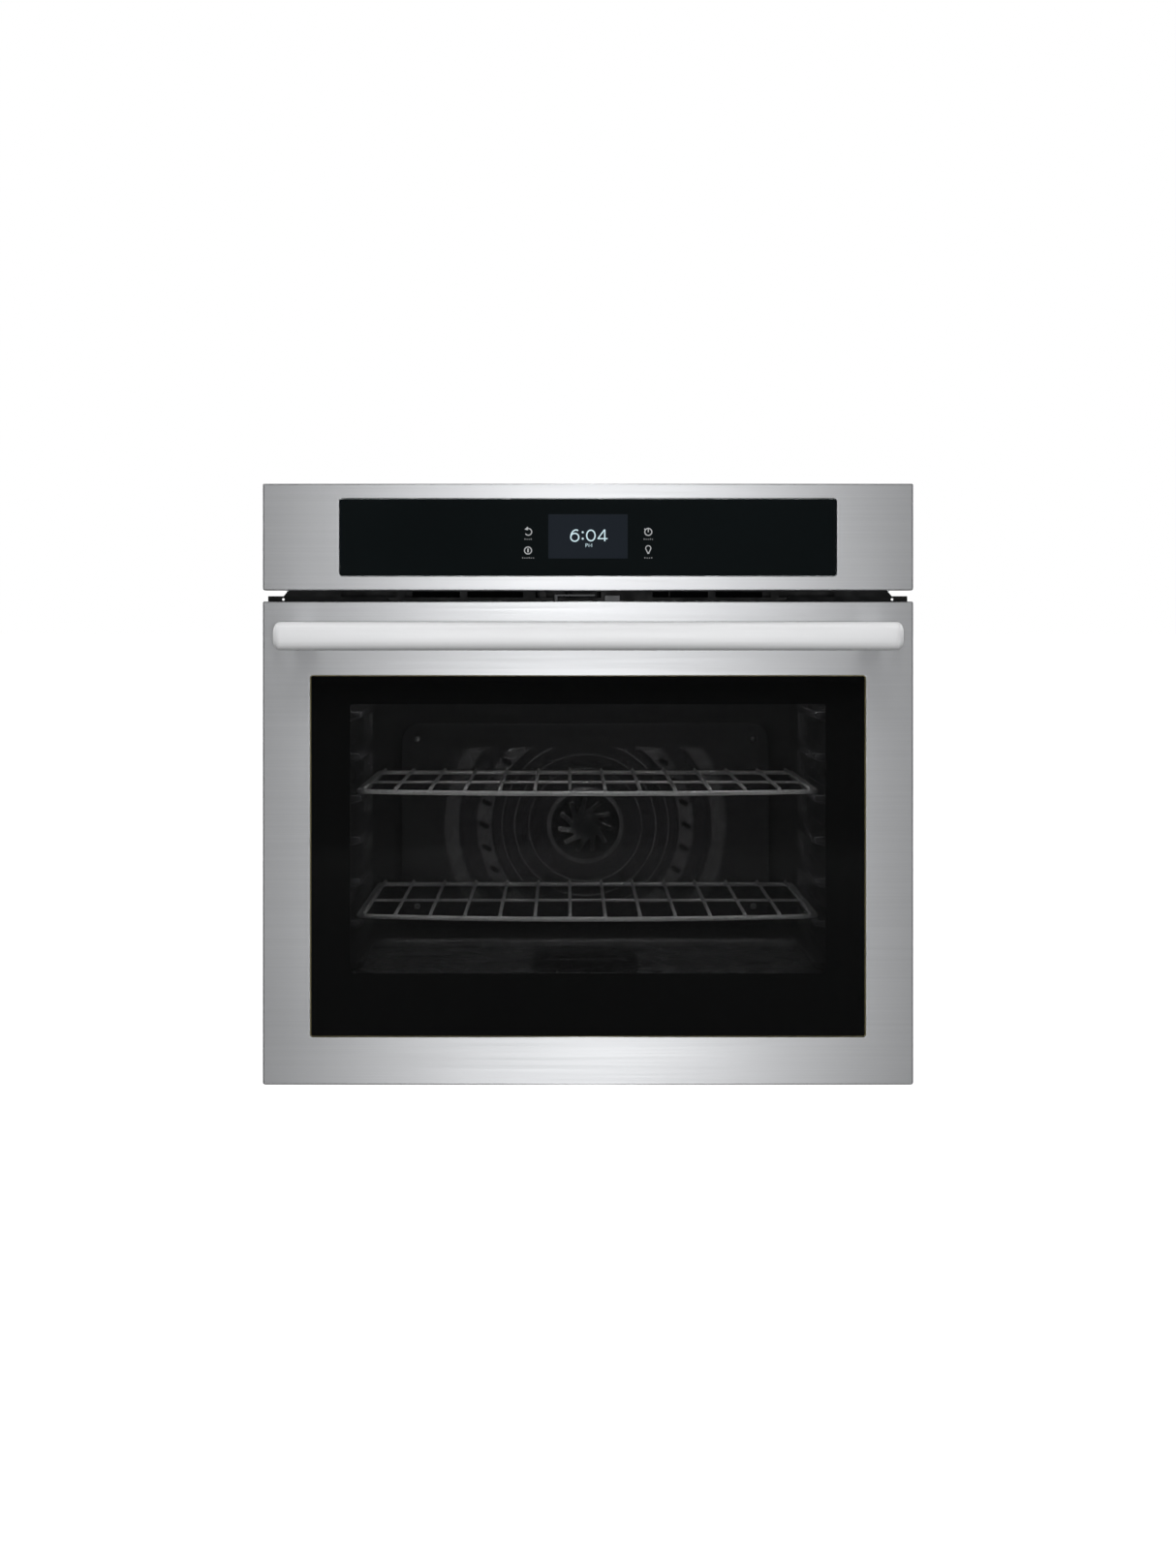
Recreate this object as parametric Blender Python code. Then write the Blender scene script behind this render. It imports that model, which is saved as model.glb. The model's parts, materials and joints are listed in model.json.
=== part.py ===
"""A built-in single electric wall oven, 762 mm (30 inch) wide, with a drop-down door, two wire racks,
a convection fan, a hidden bake element, a broil element, a cooling blower and a self-cleaning door latch.

Frame: +Z up, the front faces -Y, the origin is the centre of the bounding box's underside.
All lengths below are in millimetres. A point is (x, d, z): d is the depth behind the front face.
"""

import math

import bmesh
import bpy

MM = 0.001

# ---- driving dimensions, mm ----
FACE_W = 762.0          # width of the door and of the control fascia
FACE_TOP = 710.0        # top of the control fascia
FASCIA_BOTTOM = 585.0
DOOR_TOP = 572.0
DOOR_BOTTOM = 6.0
D_ORIGIN = 281.5        # depth of the origin behind the front face
HANDLE_OUT = 62.0       # the handle's front, ahead of the face
BACK_D = 625.0          # rearmost point
SHEET = 1.2             # sheet-metal thickness
CHASSIS_HALF = 358.0
CHASSIS_TOP = 691.6
FRAME_D = 52.0          # front of the oven's front frame
CAV_HALF = 300.0        # cavity half width
CAV_IN = 297.0          # side wall in the rack zone
RIB_IN = 270.0          # inner edge of the rack ribs
CAV_Z0, CAV_Z1 = 105.0, 545.0
CAV_BACK = 545.0
RIBS = [140.7 + 50.0 * i for i in range(7)]
FAN_Z = 272.5
HINGE_X = 343.0
PIVOT = (0.0, 24.0, 26.0)       # door hinge axis
LATCH_PIVOT = (-23.0, 105.0, 579.5)
BLOWER_AXIS = (0.0, 428.0, 590.0)
FAN_AXIS = (0.0, 524.0, FAN_Z)
RACK_BAR_Z = {"lower_rack": 193.8, "upper_rack": 343.8}
GAP = 0.35

for obj in list(bpy.data.objects):
    bpy.data.objects.remove(obj, do_unlink=True)
for mesh in list(bpy.data.meshes):
    bpy.data.meshes.remove(mesh)

MATERIALS = {
    "stainless": ((0.62, 0.62, 0.63), 0.28, 1.0),
    "galvanised": ((0.55, 0.57, 0.58), 0.45, 1.0),
    "porcelain": ((0.035, 0.036, 0.04), 0.25, 0.0),
    "black_glass": ((0.008, 0.009, 0.01), 0.05, 0.0),
    "clear_glass": ((0.25, 0.27, 0.27), 0.05, 0.0),
    "black_plastic": ((0.02, 0.02, 0.022), 0.45, 0.0),
    "chrome_wire": ((0.72, 0.72, 0.72), 0.2, 1.0),
    "element": ((0.10, 0.095, 0.09), 0.55, 0.6),
    "insulation": ((0.75, 0.68, 0.45), 0.95, 0.0),
    "gasket": ((0.16, 0.16, 0.16), 0.9, 0.0),
    "steel": ((0.5, 0.5, 0.52), 0.35, 1.0),
    "aluminium": ((0.66, 0.67, 0.68), 0.4, 1.0),
    "window_glass": ((0.02, 0.022, 0.024), 0.05, 0.0),
    "dark_steel": ((0.035, 0.035, 0.037), 0.5, 0.0),
    "board": ((0.05, 0.22, 0.10), 0.6, 0.0),
    "fan_steel": ((0.35, 0.35, 0.36), 0.4, 1.0),
    "display": ((0.02, 0.023, 0.028), 0.1, 0.0),
    "bulb": ((0.9, 0.88, 0.8), 0.1, 0.0),
}


def material(name):
    found = bpy.data.materials.get(name)
    if found:
        return found
    colour, rough, metal = MATERIALS[name]
    made = bpy.data.materials.new(name)
    made.use_nodes = True
    shader = made.node_tree.nodes["Principled BSDF"]
    shader.inputs["Base Color"].default_value = (*colour, 1.0)
    shader.inputs["Roughness"].default_value = rough
    shader.inputs["Metallic"].default_value = metal
    made.diffuse_color = (*colour, 1.0)
    return made


def world(p):
    return (p[0] * MM, (p[1] - D_ORIGIN) * MM, p[2] * MM)


BODY = {}


def body(name, pivot):
    """An empty on a joint's axis. The pieces of that moving body are its children."""
    empty = bpy.data.objects.new(name + "_axis", None)
    empty.location = world(pivot)
    bpy.context.scene.collection.objects.link(empty)
    BODY[name] = empty
    return empty


def add(name, verts, faces, mat, parent=None, smooth=False):
    """One closed mesh from points in (x, d, z) millimetres."""
    pts = [world(v) for v in verts]
    if parent:
        origin = tuple(BODY[parent].location)
    else:
        origin = tuple(
            (min(p[k] for p in pts) + max(p[k] for p in pts)) / 2 for k in range(3)
        )
    mesh = bpy.data.meshes.new(name)
    mesh.from_pydata(
        [tuple(p[k] - origin[k] for k in range(3)) for p in pts], [], faces
    )
    bm = bmesh.new()
    bm.from_mesh(mesh)
    bmesh.ops.recalc_face_normals(bm, faces=bm.faces[:])
    bm.to_mesh(mesh)
    bm.free()
    obj = bpy.data.objects.new(name, mesh)
    bpy.context.scene.collection.objects.link(obj)
    if parent:
        obj.parent = BODY[parent]
    else:
        obj.location = origin
    if mat:
        mesh.materials.append(material(mat))
    if smooth:
        mesh.shade_smooth()
        mesh.set_sharp_from_angle(angle=math.radians(40))
    return obj


def place(axis, pt, a):
    """A 2-D point and a coordinate along the axis, as (x, d, z)."""
    u, v = pt
    return {"X": (a, u, v), "Y": (u, a, v), "Z": (u, v, a)}[axis]


def prism(name, pts, axis, a0, a1, mat, parent=None, smooth=False):
    n = len(pts)
    verts = [place(axis, p, a0) for p in pts] + [place(axis, p, a1) for p in pts]
    faces = [tuple(range(n)), tuple(range(n, 2 * n))]
    faces += [(i, (i + 1) % n, n + (i + 1) % n, n + i) for i in range(n)]
    return add(name, verts, faces, mat, parent, smooth)


def box(name, x0, x1, d0, d1, z0, z1, mat, parent=None):
    return prism(name, [(x0, d0), (x1, d0), (x1, d1), (x0, d1)], "Z", z0, z1, mat, parent)


def ring(name, outer, inner, axis, a0, a1, mat, parent=None, smooth=False):
    """A frame: the space between two loops with the same number of points."""
    n = len(outer)
    verts = []
    for loop, a in ((outer, a0), (inner, a0), (inner, a1), (outer, a1)):
        verts += [place(axis, p, a) for p in loop]
    faces = []
    for k in range(4):
        b, c = k * n, ((k + 1) % 4) * n
        faces += [(b + i, b + (i + 1) % n, c + (i + 1) % n, c + i) for i in range(n)]
    return add(name, verts, faces, mat, parent, smooth)


def pan(name, outer, inner, axis, floor_out, floor_in, rim, mat, parent=None, smooth=False):
    """A tray: a floor between floor_out and floor_in, and walls up to rim."""
    n = len(outer)
    verts = []
    for loop, a in ((outer, floor_out), (outer, rim), (inner, rim), (inner, floor_in)):
        verts += [place(axis, p, a) for p in loop]
    faces = [tuple(range(n)), tuple(range(3 * n, 4 * n))]
    for k in range(3):
        b, c = k * n, (k + 1) * n
        faces += [(b + i, b + (i + 1) % n, c + (i + 1) % n, c + i) for i in range(n)]
    return add(name, verts, faces, mat, parent, smooth)


def rrect(u0, u1, v0, v1, r=0.0, steps=3):
    if r <= 0:
        return [(u0, v0), (u1, v0), (u1, v1), (u0, v1)]
    pts = []
    for cu, cv, start in (
        (u1 - r, v0 + r, -90), (u1 - r, v1 - r, 0), (u0 + r, v1 - r, 90), (u0 + r, v0 + r, 180),
    ):
        for k in range(steps + 1):
            a = math.radians(start + 90 * k / steps)
            pts.append((cu + r * math.cos(a), cv + r * math.sin(a)))
    return pts


def circle(cu, cv, r, n, turn=0.0):
    return [
        (cu + r * math.cos(turn + 2 * math.pi * k / n), cv + r * math.sin(turn + 2 * math.pi * k / n))
        for k in range(n)
    ]


def lathe(name, profile, axis, centre, n, mat, parent=None, closed=False):
    """Turns (radius, along) points about an axis through centre. An open profile starts and ends at radius 0."""
    verts, rows = [], []
    for r, a in profile:
        if r < 1e-6:
            rows.append([len(verts)])
            verts.append(place(axis, centre, a))
        else:
            rows.append(list(range(len(verts), len(verts) + n)))
            verts += [place(axis, p, a) for p in circle(centre[0], centre[1], r, n)]
    pairs = list(zip(rows, rows[1:])) + ([(rows[-1], rows[0])] if closed else [])
    faces = []
    for p, q in pairs:
        for i in range(n):
            j = (i + 1) % n
            if len(p) == 1:
                faces.append((p[0], q[i], q[j]))
            elif len(q) == 1:
                faces.append((p[i], p[j], q[0]))
            else:
                faces.append((p[i], p[j], q[j], q[i]))
    return add(name, verts, faces, mat, parent, smooth=True)


def tube_data(path, r, sides, loop=False, turn=0.0):
    """Points and faces of a wire of radius r along a path, with flat ends."""
    n = len(path)
    verts, faces = [], []
    up = None
    for i, p in enumerate(path):
        a = path[(i - 1) % n] if (loop or i) else p
        b = path[(i + 1) % n] if (loop or i < n - 1) else p
        t = [b[k] - a[k] for k in range(3)]
        size = math.sqrt(sum(c * c for c in t)) or 1.0
        t = [c / size for c in t]
        if up is None:
            up = [0, 0, 1] if abs(t[2]) < 0.9 else [1, 0, 0]
        dot = sum(up[k] * t[k] for k in range(3))
        up = [up[k] - dot * t[k] for k in range(3)]
        size = math.sqrt(sum(c * c for c in up))
        up = [c / size for c in up]
        side = [t[1] * up[2] - t[2] * up[1], t[2] * up[0] - t[0] * up[2], t[0] * up[1] - t[1] * up[0]]
        for k in range(sides):
            w = turn + 2 * math.pi * (k + 0.5) / sides
            verts.append(tuple(p[m] + r * (math.cos(w) * side[m] + math.sin(w) * up[m]) for m in range(3)))
    for i in range(n if loop else n - 1):
        j = (i + 1) % n
        for k in range(sides):
            m = (k + 1) % sides
            faces.append((i * sides + k, i * sides + m, j * sides + m, j * sides + k))
    if not loop:
        faces += [tuple(range(sides)), tuple(range((n - 1) * sides, n * sides))]
    return verts, faces


def fillet(path, radius, steps=2):
    """The path with its corners rounded."""
    out = [path[0]]
    for a, b, c in zip(path, path[1:], path[2:]):
        la = math.dist(a, b)
        lc = math.dist(b, c)
        cut = min(radius, la * 0.49, lc * 0.49)
        p = [b[k] + (a[k] - b[k]) * cut / la for k in range(3)]
        q = [b[k] + (c[k] - b[k]) * cut / lc for k in range(3)]
        for s in range(steps + 1):
            t = s / steps
            out.append(tuple((1 - t) ** 2 * p[k] + 2 * t * (1 - t) * b[k] + t * t * q[k] for k in range(3)))
    out.append(path[-1])
    return out


def tube(name, path, r, sides, mat, parent=None, loop=False):
    verts, faces = tube_data(path, r, sides, loop)
    return add(name, verts, faces, mat, parent, smooth=True)


def several(name, parts, mat=None, parent=None):
    """Several closed shapes as one mesh, for a cutter or for a union."""
    verts, faces = [], []
    for v, f in parts:
        base = len(verts)
        verts += v
        faces += [tuple(base + i for i in face) for face in f]
    return add(name, verts, faces, mat, parent)


def box_data(x0, x1, d0, d1, z0, z1):
    v = [(x, d, z) for x in (x0, x1) for d in (d0, d1) for z in (z0, z1)]
    f = [(0, 1, 3, 2), (4, 6, 7, 5), (0, 4, 5, 1), (2, 3, 7, 6), (0, 2, 6, 4), (1, 5, 7, 3)]
    return v, f


def prism_data(pts, axis, a0, a1):
    n = len(pts)
    v = [place(axis, p, a0) for p in pts] + [place(axis, p, a1) for p in pts]
    f = [tuple(range(n)), tuple(range(n, 2 * n))]
    f += [(i, (i + 1) % n, n + (i + 1) % n, n + i) for i in range(n)]
    return v, f


def boolean(obj, helper, operation):
    helper.hide_render = True
    helper.display_type = "WIRE"
    modifier = obj.modifiers.new(operation.lower() + "_" + helper.name, "BOOLEAN")
    modifier.operation = operation
    modifier.solver = "EXACT"
    modifier.object = helper
    modifier.use_self = True
    return obj


def cut(obj, *parts):
    return boolean(obj, several(obj.name + "_cutter", parts), "DIFFERENCE")


def fuse(obj, *parts):
    return boolean(obj, several(obj.name + "_addition", parts), "UNION")


def inset(x0, x1, z0, z1, t, r=0.0, steps=3):
    return rrect(x0 + t, x1 - t, z0 + t, z1 - t, max(r - t, 0.4) if r > 0 else 0, steps)


HALF = FACE_W / 2
body("door", PIVOT)
body("latch", LATCH_PIVOT)
body("fan", FAN_AXIS)
body("blower", BLOWER_AXIS)
body("plunger", (29.0, 41.0, 576.5))
body("upper_rack_body", (0.0, 300.0, RACK_BAR_Z["upper_rack"]))
body("lower_rack_body", (0.0, 300.0, RACK_BAR_Z["lower_rack"]))

# ---------------------------------------------------------------- chassis
base = prism(
    "base_pan",
    [(66, 0), (609.4, 0), (609.4, 20), (608, 20), (608, 1.5), (67.4, 1.5), (67.4, 55), (66, 55)],
    "X", -356.4, 356.4, "galvanised",
)
cut(
    base,
    *[box_data(s * HINGE_X - 9.8, s * HINGE_X + 9.8, 60, 70, 9, 60) for s in (-1, 1)],
)
for side, s in (("left", -1), ("right", 1)):
    prism(
        side + "_side_panel",
        [(s * x, d) for x, d in (
            (358, 54), (358, 611), (346, 611), (346, 609.8), (356.8, 609.8), (356.8, 55.2), (352.6, 55.2), (352.6, 54))],
        "Z", 0.5, 690.0, "galvanised",
    )
top = box("top_cover", -358, 358, 54, 612.5, 690.4, CHASSIS_TOP, "galvanised")
cut(top, prism_data(circle(-280, 570, 12.7, 16), "Z", 685, 700))
back = box("back_panel", -357.5, 357.5, 611.4, 612.6, 0.5, 690.0, "galvanised")
cut(
    back,
    *[box_data(x - 4, x + 4, 605, 620, 560, 640) for x in (-150, -120, -90, -60, 60, 90, 120, 150)],
    box_data(-310, -250, 605, 620, 618, 662),
)

front = ring(
    "front_frame",
    rrect(-356, 356, 58, 572.6, 18, 3),
    rrect(-CAV_HALF, CAV_HALF, CAV_Z0, CAV_Z1, 18, 3),
    "Y", FRAME_D, FRAME_D + 1.4, "porcelain",
)
fuse(front, box_data(-330, 330, FRAME_D + 0.7, 150, 571.2, 572.6))

# cavity: one ribbed cross-section, closed at the back
def side_profile(x_wall, x_in, x_rib, grow):
    """Right-hand wall from bottom to top. grow is 0 for the inner face and the sheet's thickness for the outer."""
    g = grow
    pts = [(294 + 0.6 * g, CAV_Z0 + 5 - 0.8 * g), (x_in + g, CAV_Z0 + 15 - 0.4 * g)]
    for z in RIBS:
        pts += [(x_in + g, z - 16 + 0.72 * g), (x_rib + g, z - 7 + 0.72 * g), (x_rib + g, z - g), (x_in + g, z - g)]
    pts += [(x_in + g, 468 + 0.5 * g), (x_wall + g, 484 + 0.5 * g)]
    return pts


def cavity_loop(g):
    right = [(272 + 0.15 * g, CAV_Z0 - g)] + side_profile(CAV_HALF, CAV_IN, RIB_IN, g)
    right += [(CAV_HALF + g, 531), (296 + 0.7 * g, 541 + 0.7 * g), (286, CAV_Z1 + g)]
    return right + [(-x, z) for x, z in reversed(right)]


cavity = pan(
    "oven_cavity", cavity_loop(SHEET), cavity_loop(0.0), "Y",
    CAV_BACK + SHEET, CAV_BACK, FRAME_D + 1.7, "porcelain",
)
LAMP = (200.0, 486.0)
PROBE = (-200.0, 490.0)
cut(
    cavity,
    prism_data(circle(0, FAN_Z, 6, 12), "Y", 540, 552),
    prism_data(circle(*LAMP, 26, 20), "Y", 540, 552),
    prism_data(circle(*PROBE, 4.5, 10), "Y", 540, 552),
    *[prism_data(circle(x, 524, 5, 10), "Y", 540, 552) for x in (-25, 25)],
)
wrap = pan(
    "insulation_wrap", rrect(-333, 333, 56, 570.5), rrect(-301.8, 301.8, 86, 546.8), "Y",
    578, CAV_BACK + SHEET + 0.6, 58, "insulation",
)
cut(
    wrap,
    prism_data(circle(0, FAN_Z, 48, 20), "Y", 540, 590),
    prism_data(circle(*LAMP, 33, 16), "Y", 540, 590),
    prism_data(circle(*PROBE, 8, 10), "Y", 540, 590),
    box_data(-45, 45, 540, 590, 512, 536),
    box_data(-45, 45, 540, 590, 89, 102),
)
prism(
    "bake_element_tray",
    [(-297, 87), (297, 87), (297, 103.4), (296, 103.4), (296, 88), (-296, 88), (-296, 103.4), (-297, 103.4)],
    "Y", 62, 540, "galvanised",
)


def serpentine(z, half, d_front, d_back, d_in, d_end, passes):
    xs = [half - 2 * half * k / (passes - 1) for k in range(passes)]
    path = [(25, d_end, z), (25, d_back, z), (xs[0], d_back, z), (xs[0], d_front, z)]
    for k in range(1, passes - 1):
        rows = (d_front, d_in) if k % 2 else (d_in, d_front)
        path += [(xs[k], rows[0], z), (xs[k], rows[1], z)]
    path += [(xs[-1], d_front, z), (xs[-1], d_back, z), (-25, d_back, z), (-25, d_end, z)]
    return fillet(path, 16, 2)


tube("bake_element", serpentine(95.5, 250, 110, 515, 470, 574, 6), 3.4, 6, "element")
tube("broil_element", serpentine(524, 232, 105, 500, 452, 590, 8), 3.4, 6, "element")

# convection baffle: a shallow pressed cover in front of the back wall
BAFFLE = (-248, 248, 141.5, 410.5)
baffle = pan(
    "convection_baffle", rrect(*BAFFLE, 26, 3), inset(*BAFFLE, 1.0, 26, 3), "Y",
    518, 519, CAV_BACK - 0.3, "porcelain",
)
slots = [prism_data(circle(0, FAN_Z, 45.8, 28), "Y", 514, 524)]
for s in (-1, 1):
    for k in range(7):
        a = math.radians(-39 + 13 * k)
        cx, cz = s * 137 * math.cos(a), FAN_Z + 137 * math.sin(a)
        tilt = math.radians(-30)
        hexa = []
        for u, v in ((-7.5, 0), (-5, -3), (5, -3), (7.5, 0), (5, 3), (-5, 3)):
            hexa.append((cx + u * math.cos(tilt) - v * math.sin(tilt), cz + u * math.sin(tilt) + v * math.cos(tilt)))
        slots.append(prism_data(hexa, "Y", 514, 524))
cut(baffle, *slots)

lathe(
    "convection_motor",
    [(3.7, 548.2), (46, 548.2), (46, 550), (38, 551), (38, 596), (12, 597), (12, 604), (3.7, 604)],
    "Y", (0, FAN_Z), 20, "steel", closed=True,
)

# lamp: can behind the wall, bulb in it, glass screwed over the hole
lathe(
    "lamp_housing",
    [(24, 546.7), (31, 546.7), (31, 547.9), (25, 547.9), (25, 600), (6, 600), (6, 599), (24, 599)],
    "Y", LAMP, 16, "galvanised", closed=True,
)
lathe(
    "lamp_bulb",
    [(0, 533), (6, 534.5), (10, 541), (10, 552), (7, 562), (7, 590), (5.5, 590.5), (5.5, 598), (0, 598)],
    "Y", LAMP, 12, "bulb",
)
lens_profile = [(0, 523), (9, 523.4), (19, 526), (25.5, 532), (27, 540), (30, 541.5), (30, 544.7),
                (23.5, 544.7), (23.5, 541), (22.8, 533.5), (17.5, 528.2), (9, 525.9), (0, 525.5)]
lathe("lamp_lens", lens_profile, "Y", LAMP, 16, "clear_glass")
lathe(
    "temperature_sensor",
    [(0, 450), (1.6, 450.5), (2.4, 452), (2.4, 543), (11, 543), (11, 544.7), (2.4, 544.7), (2.4, 580), (0, 580)],
    "Y", PROBE, 10, "steel",
)

ring(
    "door_gasket", rrect(-316, 316, 89, 561, 32, 4), rrect(-304, 304, 101, 549, 20, 4),
    "Y", 44.4, 51.7, "gasket",
)

for side, s in (("left", -1), ("right", 1)):
    rail = prism(
        side + "_mounting_flange",
        [(s * x, d) for x, d in ((380, 53.8), (380, 55.2), (359.7, 55.2), (359.7, 85), (358.3, 85), (358.3, 53.8))],
        "Z", 8, 578.5, "dark_steel",
    )
    holes = [(371, 90, 2.7), (371, 330, 2.7), (371, 548, 2.7), (361.9, 574.6, 1.6)]
    cut(rail, *[prism_data(circle(s * x, z, r, 10), "Y", 50, 60) for x, z, r in holes])

# ---------------------------------------------------------------- hinges
for side, s in (("left", -1), ("right", 1)):
    hx = s * HINGE_X
    receiver = pan(
        side + "_hinge_receiver",
        rrect(hx - 9, hx + 9, 10, 54), rrect(hx - 6.8, hx + 6.8, 12, 52), "Y", 120, 118, 54, "steel",
    )
    fuse(receiver, box_data(hx - 9, hx + 9, 54, 55.6, 53, 96))
    arm = prism(
        side + "_hinge_arm",
        [(15.4, 26), (17, 20), (24, 17), (60, 17), (114, 18.5), (114, 33), (86, 33), (86, 29), (78, 29), (78, 35),
         (36, 35), (31.5, 37), (28, 40), (20.5, 40), (17.5, 37), (16, 32)],
        "X", hx - 2, hx + 2, "steel",
    )
    cut(arm, prism_data(circle(24, 26, 3.4, 12), "X", hx - 5, hx + 5))
    channel = ring(
        side + "_hinge_body",
        [(hx - 8.5, 10), (hx + 8.5, 10), (hx + 8.5, 41), (hx - 8.5, 41)],
        [(hx - 7, 11.5), (hx + 7, 11.5), (hx + 7, 39), (hx - 7, 39)],
        "Z", 14, 205, "steel", "door",
    )
    cut(
        channel,
        box_data(hx - 7, hx + 7, 30, 45, 10, 150),
        prism_data(circle(24, 26, 3.35, 12), "X", hx - 12, hx + 12),
    )
    prism(side + "_hinge_pin", circle(24, 26, 3.0, 12), "X", hx - 10.5, hx + 10.5, "steel", "door", smooth=True)
    coil = [(hx, 24, 42.0), (hx, 24, 58)]
    turns, per, z0, z1 = 9, 6, 64, 176
    for k in range(turns * per + 1):
        a = 2 * math.pi * k / per
        coil.append((hx + 5 * math.cos(a), 24 + 5 * math.sin(a), z0 + (z1 - z0) * k / (turns * per)))
    coil += [(hx, 24, 182), (hx, 24, 200)]
    tube(side + "_hinge_spring", coil, 1.1, 4, "steel", "door")

# ---------------------------------------------------------------- latch, switch
motor = box("latch_motor", -58, 12, 90, 150, 584, 606, "steel")
fuse(
    motor,
    box_data(-58, -50, 126, 150, 573, 585), box_data(4, 12, 126, 150, 573, 585),
    prism_data(circle(-23, 105, 3.0, 12), "Z", 575, 585),
    prism_data(circle(-23, 122, 17, 16), "Z", 605.5, 622),
)
hook = prism(
    "latch_hook",
    [(-32, 105), (-29.5, 111.5), (-23, 114), (-16.5, 111.5), (-14, 105), (-13, 60), (-10, 42), (8, 39), (8, 33),
     (-40, 32), (-40, 39), (-31, 42), (-30, 60)],
    "Z", 578.5, 580.5, "steel", "latch",
)
fuse(hook, box_data(-40, -35, 34.5, 38.8, 568.2, 580))
cut(hook, prism_data(circle(-23, 105, 3.4, 12), "Z", 570, 590))
switch = box("door_switch_body", 19, 39, 55, 78, 573, 583, "black_plastic")
cut(switch, prism_data(circle(29, 577.6, 3.4, 10), "Y", 50, 74))
prism("door_switch_plunger", circle(29, 577.6, 3.0, 10), "Y", 40.4, 62, "black_plastic", "plunger", smooth=True)

vent = prism(
    "vent_trim",
    [(-361, 573), (361, 573), (361, 579), (355, 586), (355, 604), (-355, 604), (-355, 586), (-361, 579)],
    "Y", 52, 53.2, "dark_steel",
)
cut(
    vent,
    *[box_data(s * x - 33, s * x + 33, 48, 58, 577, 584) for s in (-1, 1) for x in (110, 185, 260)],
    box_data(-62, 16, 48, 58, 576.5, 584),
    prism_data(circle(29, 577.6, 3.9, 10), "Y", 48, 58),
    *[prism_data(circle(s * 361.9, 574.6, 1.9, 10), "Y", 48, 58) for s in (-1, 1)],
)

# ---------------------------------------------------------------- cooling blower
prism(
    "air_duct",
    [(-200, 573.4), (-200, 608), (200, 608), (200, 573.4), (198.8, 573.4), (198.8, 606.8), (-198.8, 606.8), (-198.8, 573.4)],
    "Y", 156, 330, "galvanised",
)
scroll = [(86 * math.cos(math.radians(a)), 428 + 86 * math.sin(math.radians(a))) for a in range(-30, 211, 24)]
scroll += [(-110, 334), (110, 334)]
scroll_in = [(84.8 * math.cos(math.radians(a)), 428 + 84.8 * math.sin(math.radians(a))) for a in range(-30, 211, 24)]
scroll_in += [(-108.4, 335.2), (108.4, 335.2)]
housing = pan("blower_housing", scroll, scroll_in, "Z", 612, 610.8, 573.4, "galvanised")
cut(
    housing,
    prism_data(circle(0, 428, 44, 20), "Z", 600, 620),
    box_data(-96, 96, 325, 345, 577, 605),
)
ring(
    "blower_motor", circle(0, 428, 34, 18), circle(0, 428, 3.7, 18), "Z", 634, 668, "steel", smooth=True,
)
fuse(
    bpy.data.objects["blower_motor"],
    *[box_data(-60, -30, 424, 432, 634, 636.5), box_data(30, 60, 424, 432, 634, 636.5),
      box_data(-60, -57, 424, 432, 612.4, 636), box_data(57, 60, 424, 432, 612.4, 636)],
)
wheel_pts = []
BLADES = 14
for k in range(BLADES):
    a = 2 * math.pi * k / BLADES
    b = a + 0.16
    wheel_pts += [(40 * math.cos(a), 428 + 40 * math.sin(a)), (62 * math.cos(b), 428 + 62 * math.sin(b)),
                  (62 * math.cos(b + 0.05), 428 + 62 * math.sin(b + 0.05)), (40 * math.cos(a + 0.1), 428 + 40 * math.sin(a + 0.1))]
wheel = prism("blower_wheel", wheel_pts, "Z", 580, 604, "fan_steel", "blower")
cut(wheel, prism_data(circle(0, 428, 36, BLADES), "Z", 583, 610))
fuse(wheel, prism_data(circle(0, 428, 62.5, BLADES * 2), "Z", 578, 580.6), prism_data(circle(0, 428, 3.0, 10), "Z", 580, 655),
     prism_data(circle(0, 428, 9, 12), "Z", 580.3, 594))

# ---------------------------------------------------------------- convection fan
star = []
for k in range(11):
    a = 2 * math.pi * k / 11
    for r, off in ((14, -0.20), (37, 0.16), (37, 0.36), (14, 0.18)):
        star.append((r * math.cos(a + off), FAN_Z + r * math.sin(a + off)))
fan = prism("convection_fan", star, "Y", 523.2, 524.6, "fan_steel", "fan")
fuse(
    fan,
    prism_data(circle(0, FAN_Z, 12, 16), "Y", 520, 526),
    prism_data(circle(0, FAN_Z, 3, 10), "Y", 516.5, 580),
)

# ---------------------------------------------------------------- controls
fascia_rect = (-HALF, HALF, FASCIA_BOTTOM, FACE_TOP)
fascia = pan("control_fascia", rrect(*fascia_rect, 2, 2), inset(*fascia_rect, SHEET, 2, 2), "Y", 0, SHEET, 24, "stainless")
cut(fascia, prism_data(rrect(-291.3, 291.3, 601.6, 692.7, 3, 2), "Y", -5, 8))
prism("control_glass", rrect(-290.9, 290.9, 602.0, 692.3, 2.7, 2), "Y", 0.25, 4.3, "black_glass")
box("display_screen", -46.5, 46.5, 4.7, 9, 622, 675, "display")
board = box("control_board", -150, 150, 30, 31.6, 612, 684, "board")
fuse(
    board,
    box_data(-130, -95, 31, 46, 650, 676), box_data(-80, -55, 31, 44, 655, 674), box_data(60, 120, 31, 42, 620, 634),
    box_data(-40, 40, 12, 31, 630, 668),
)
case = (-372, 372, 590, 703)
bracket = pan("control_bracket", rrect(*case), inset(*case, SHEET), "Y", 51.4, 50.2, 24.6, "galvanised")
cut(bracket, box_data(-180, -120, 45, 55, 640, 670))
cover = pan(
    "terminal_cover", rrect(-330, -230, 600, 680), rrect(-329, -231, 601, 679), "Y", BACK_D, BACK_D - 1, 613, "galvanised",
)
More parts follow.
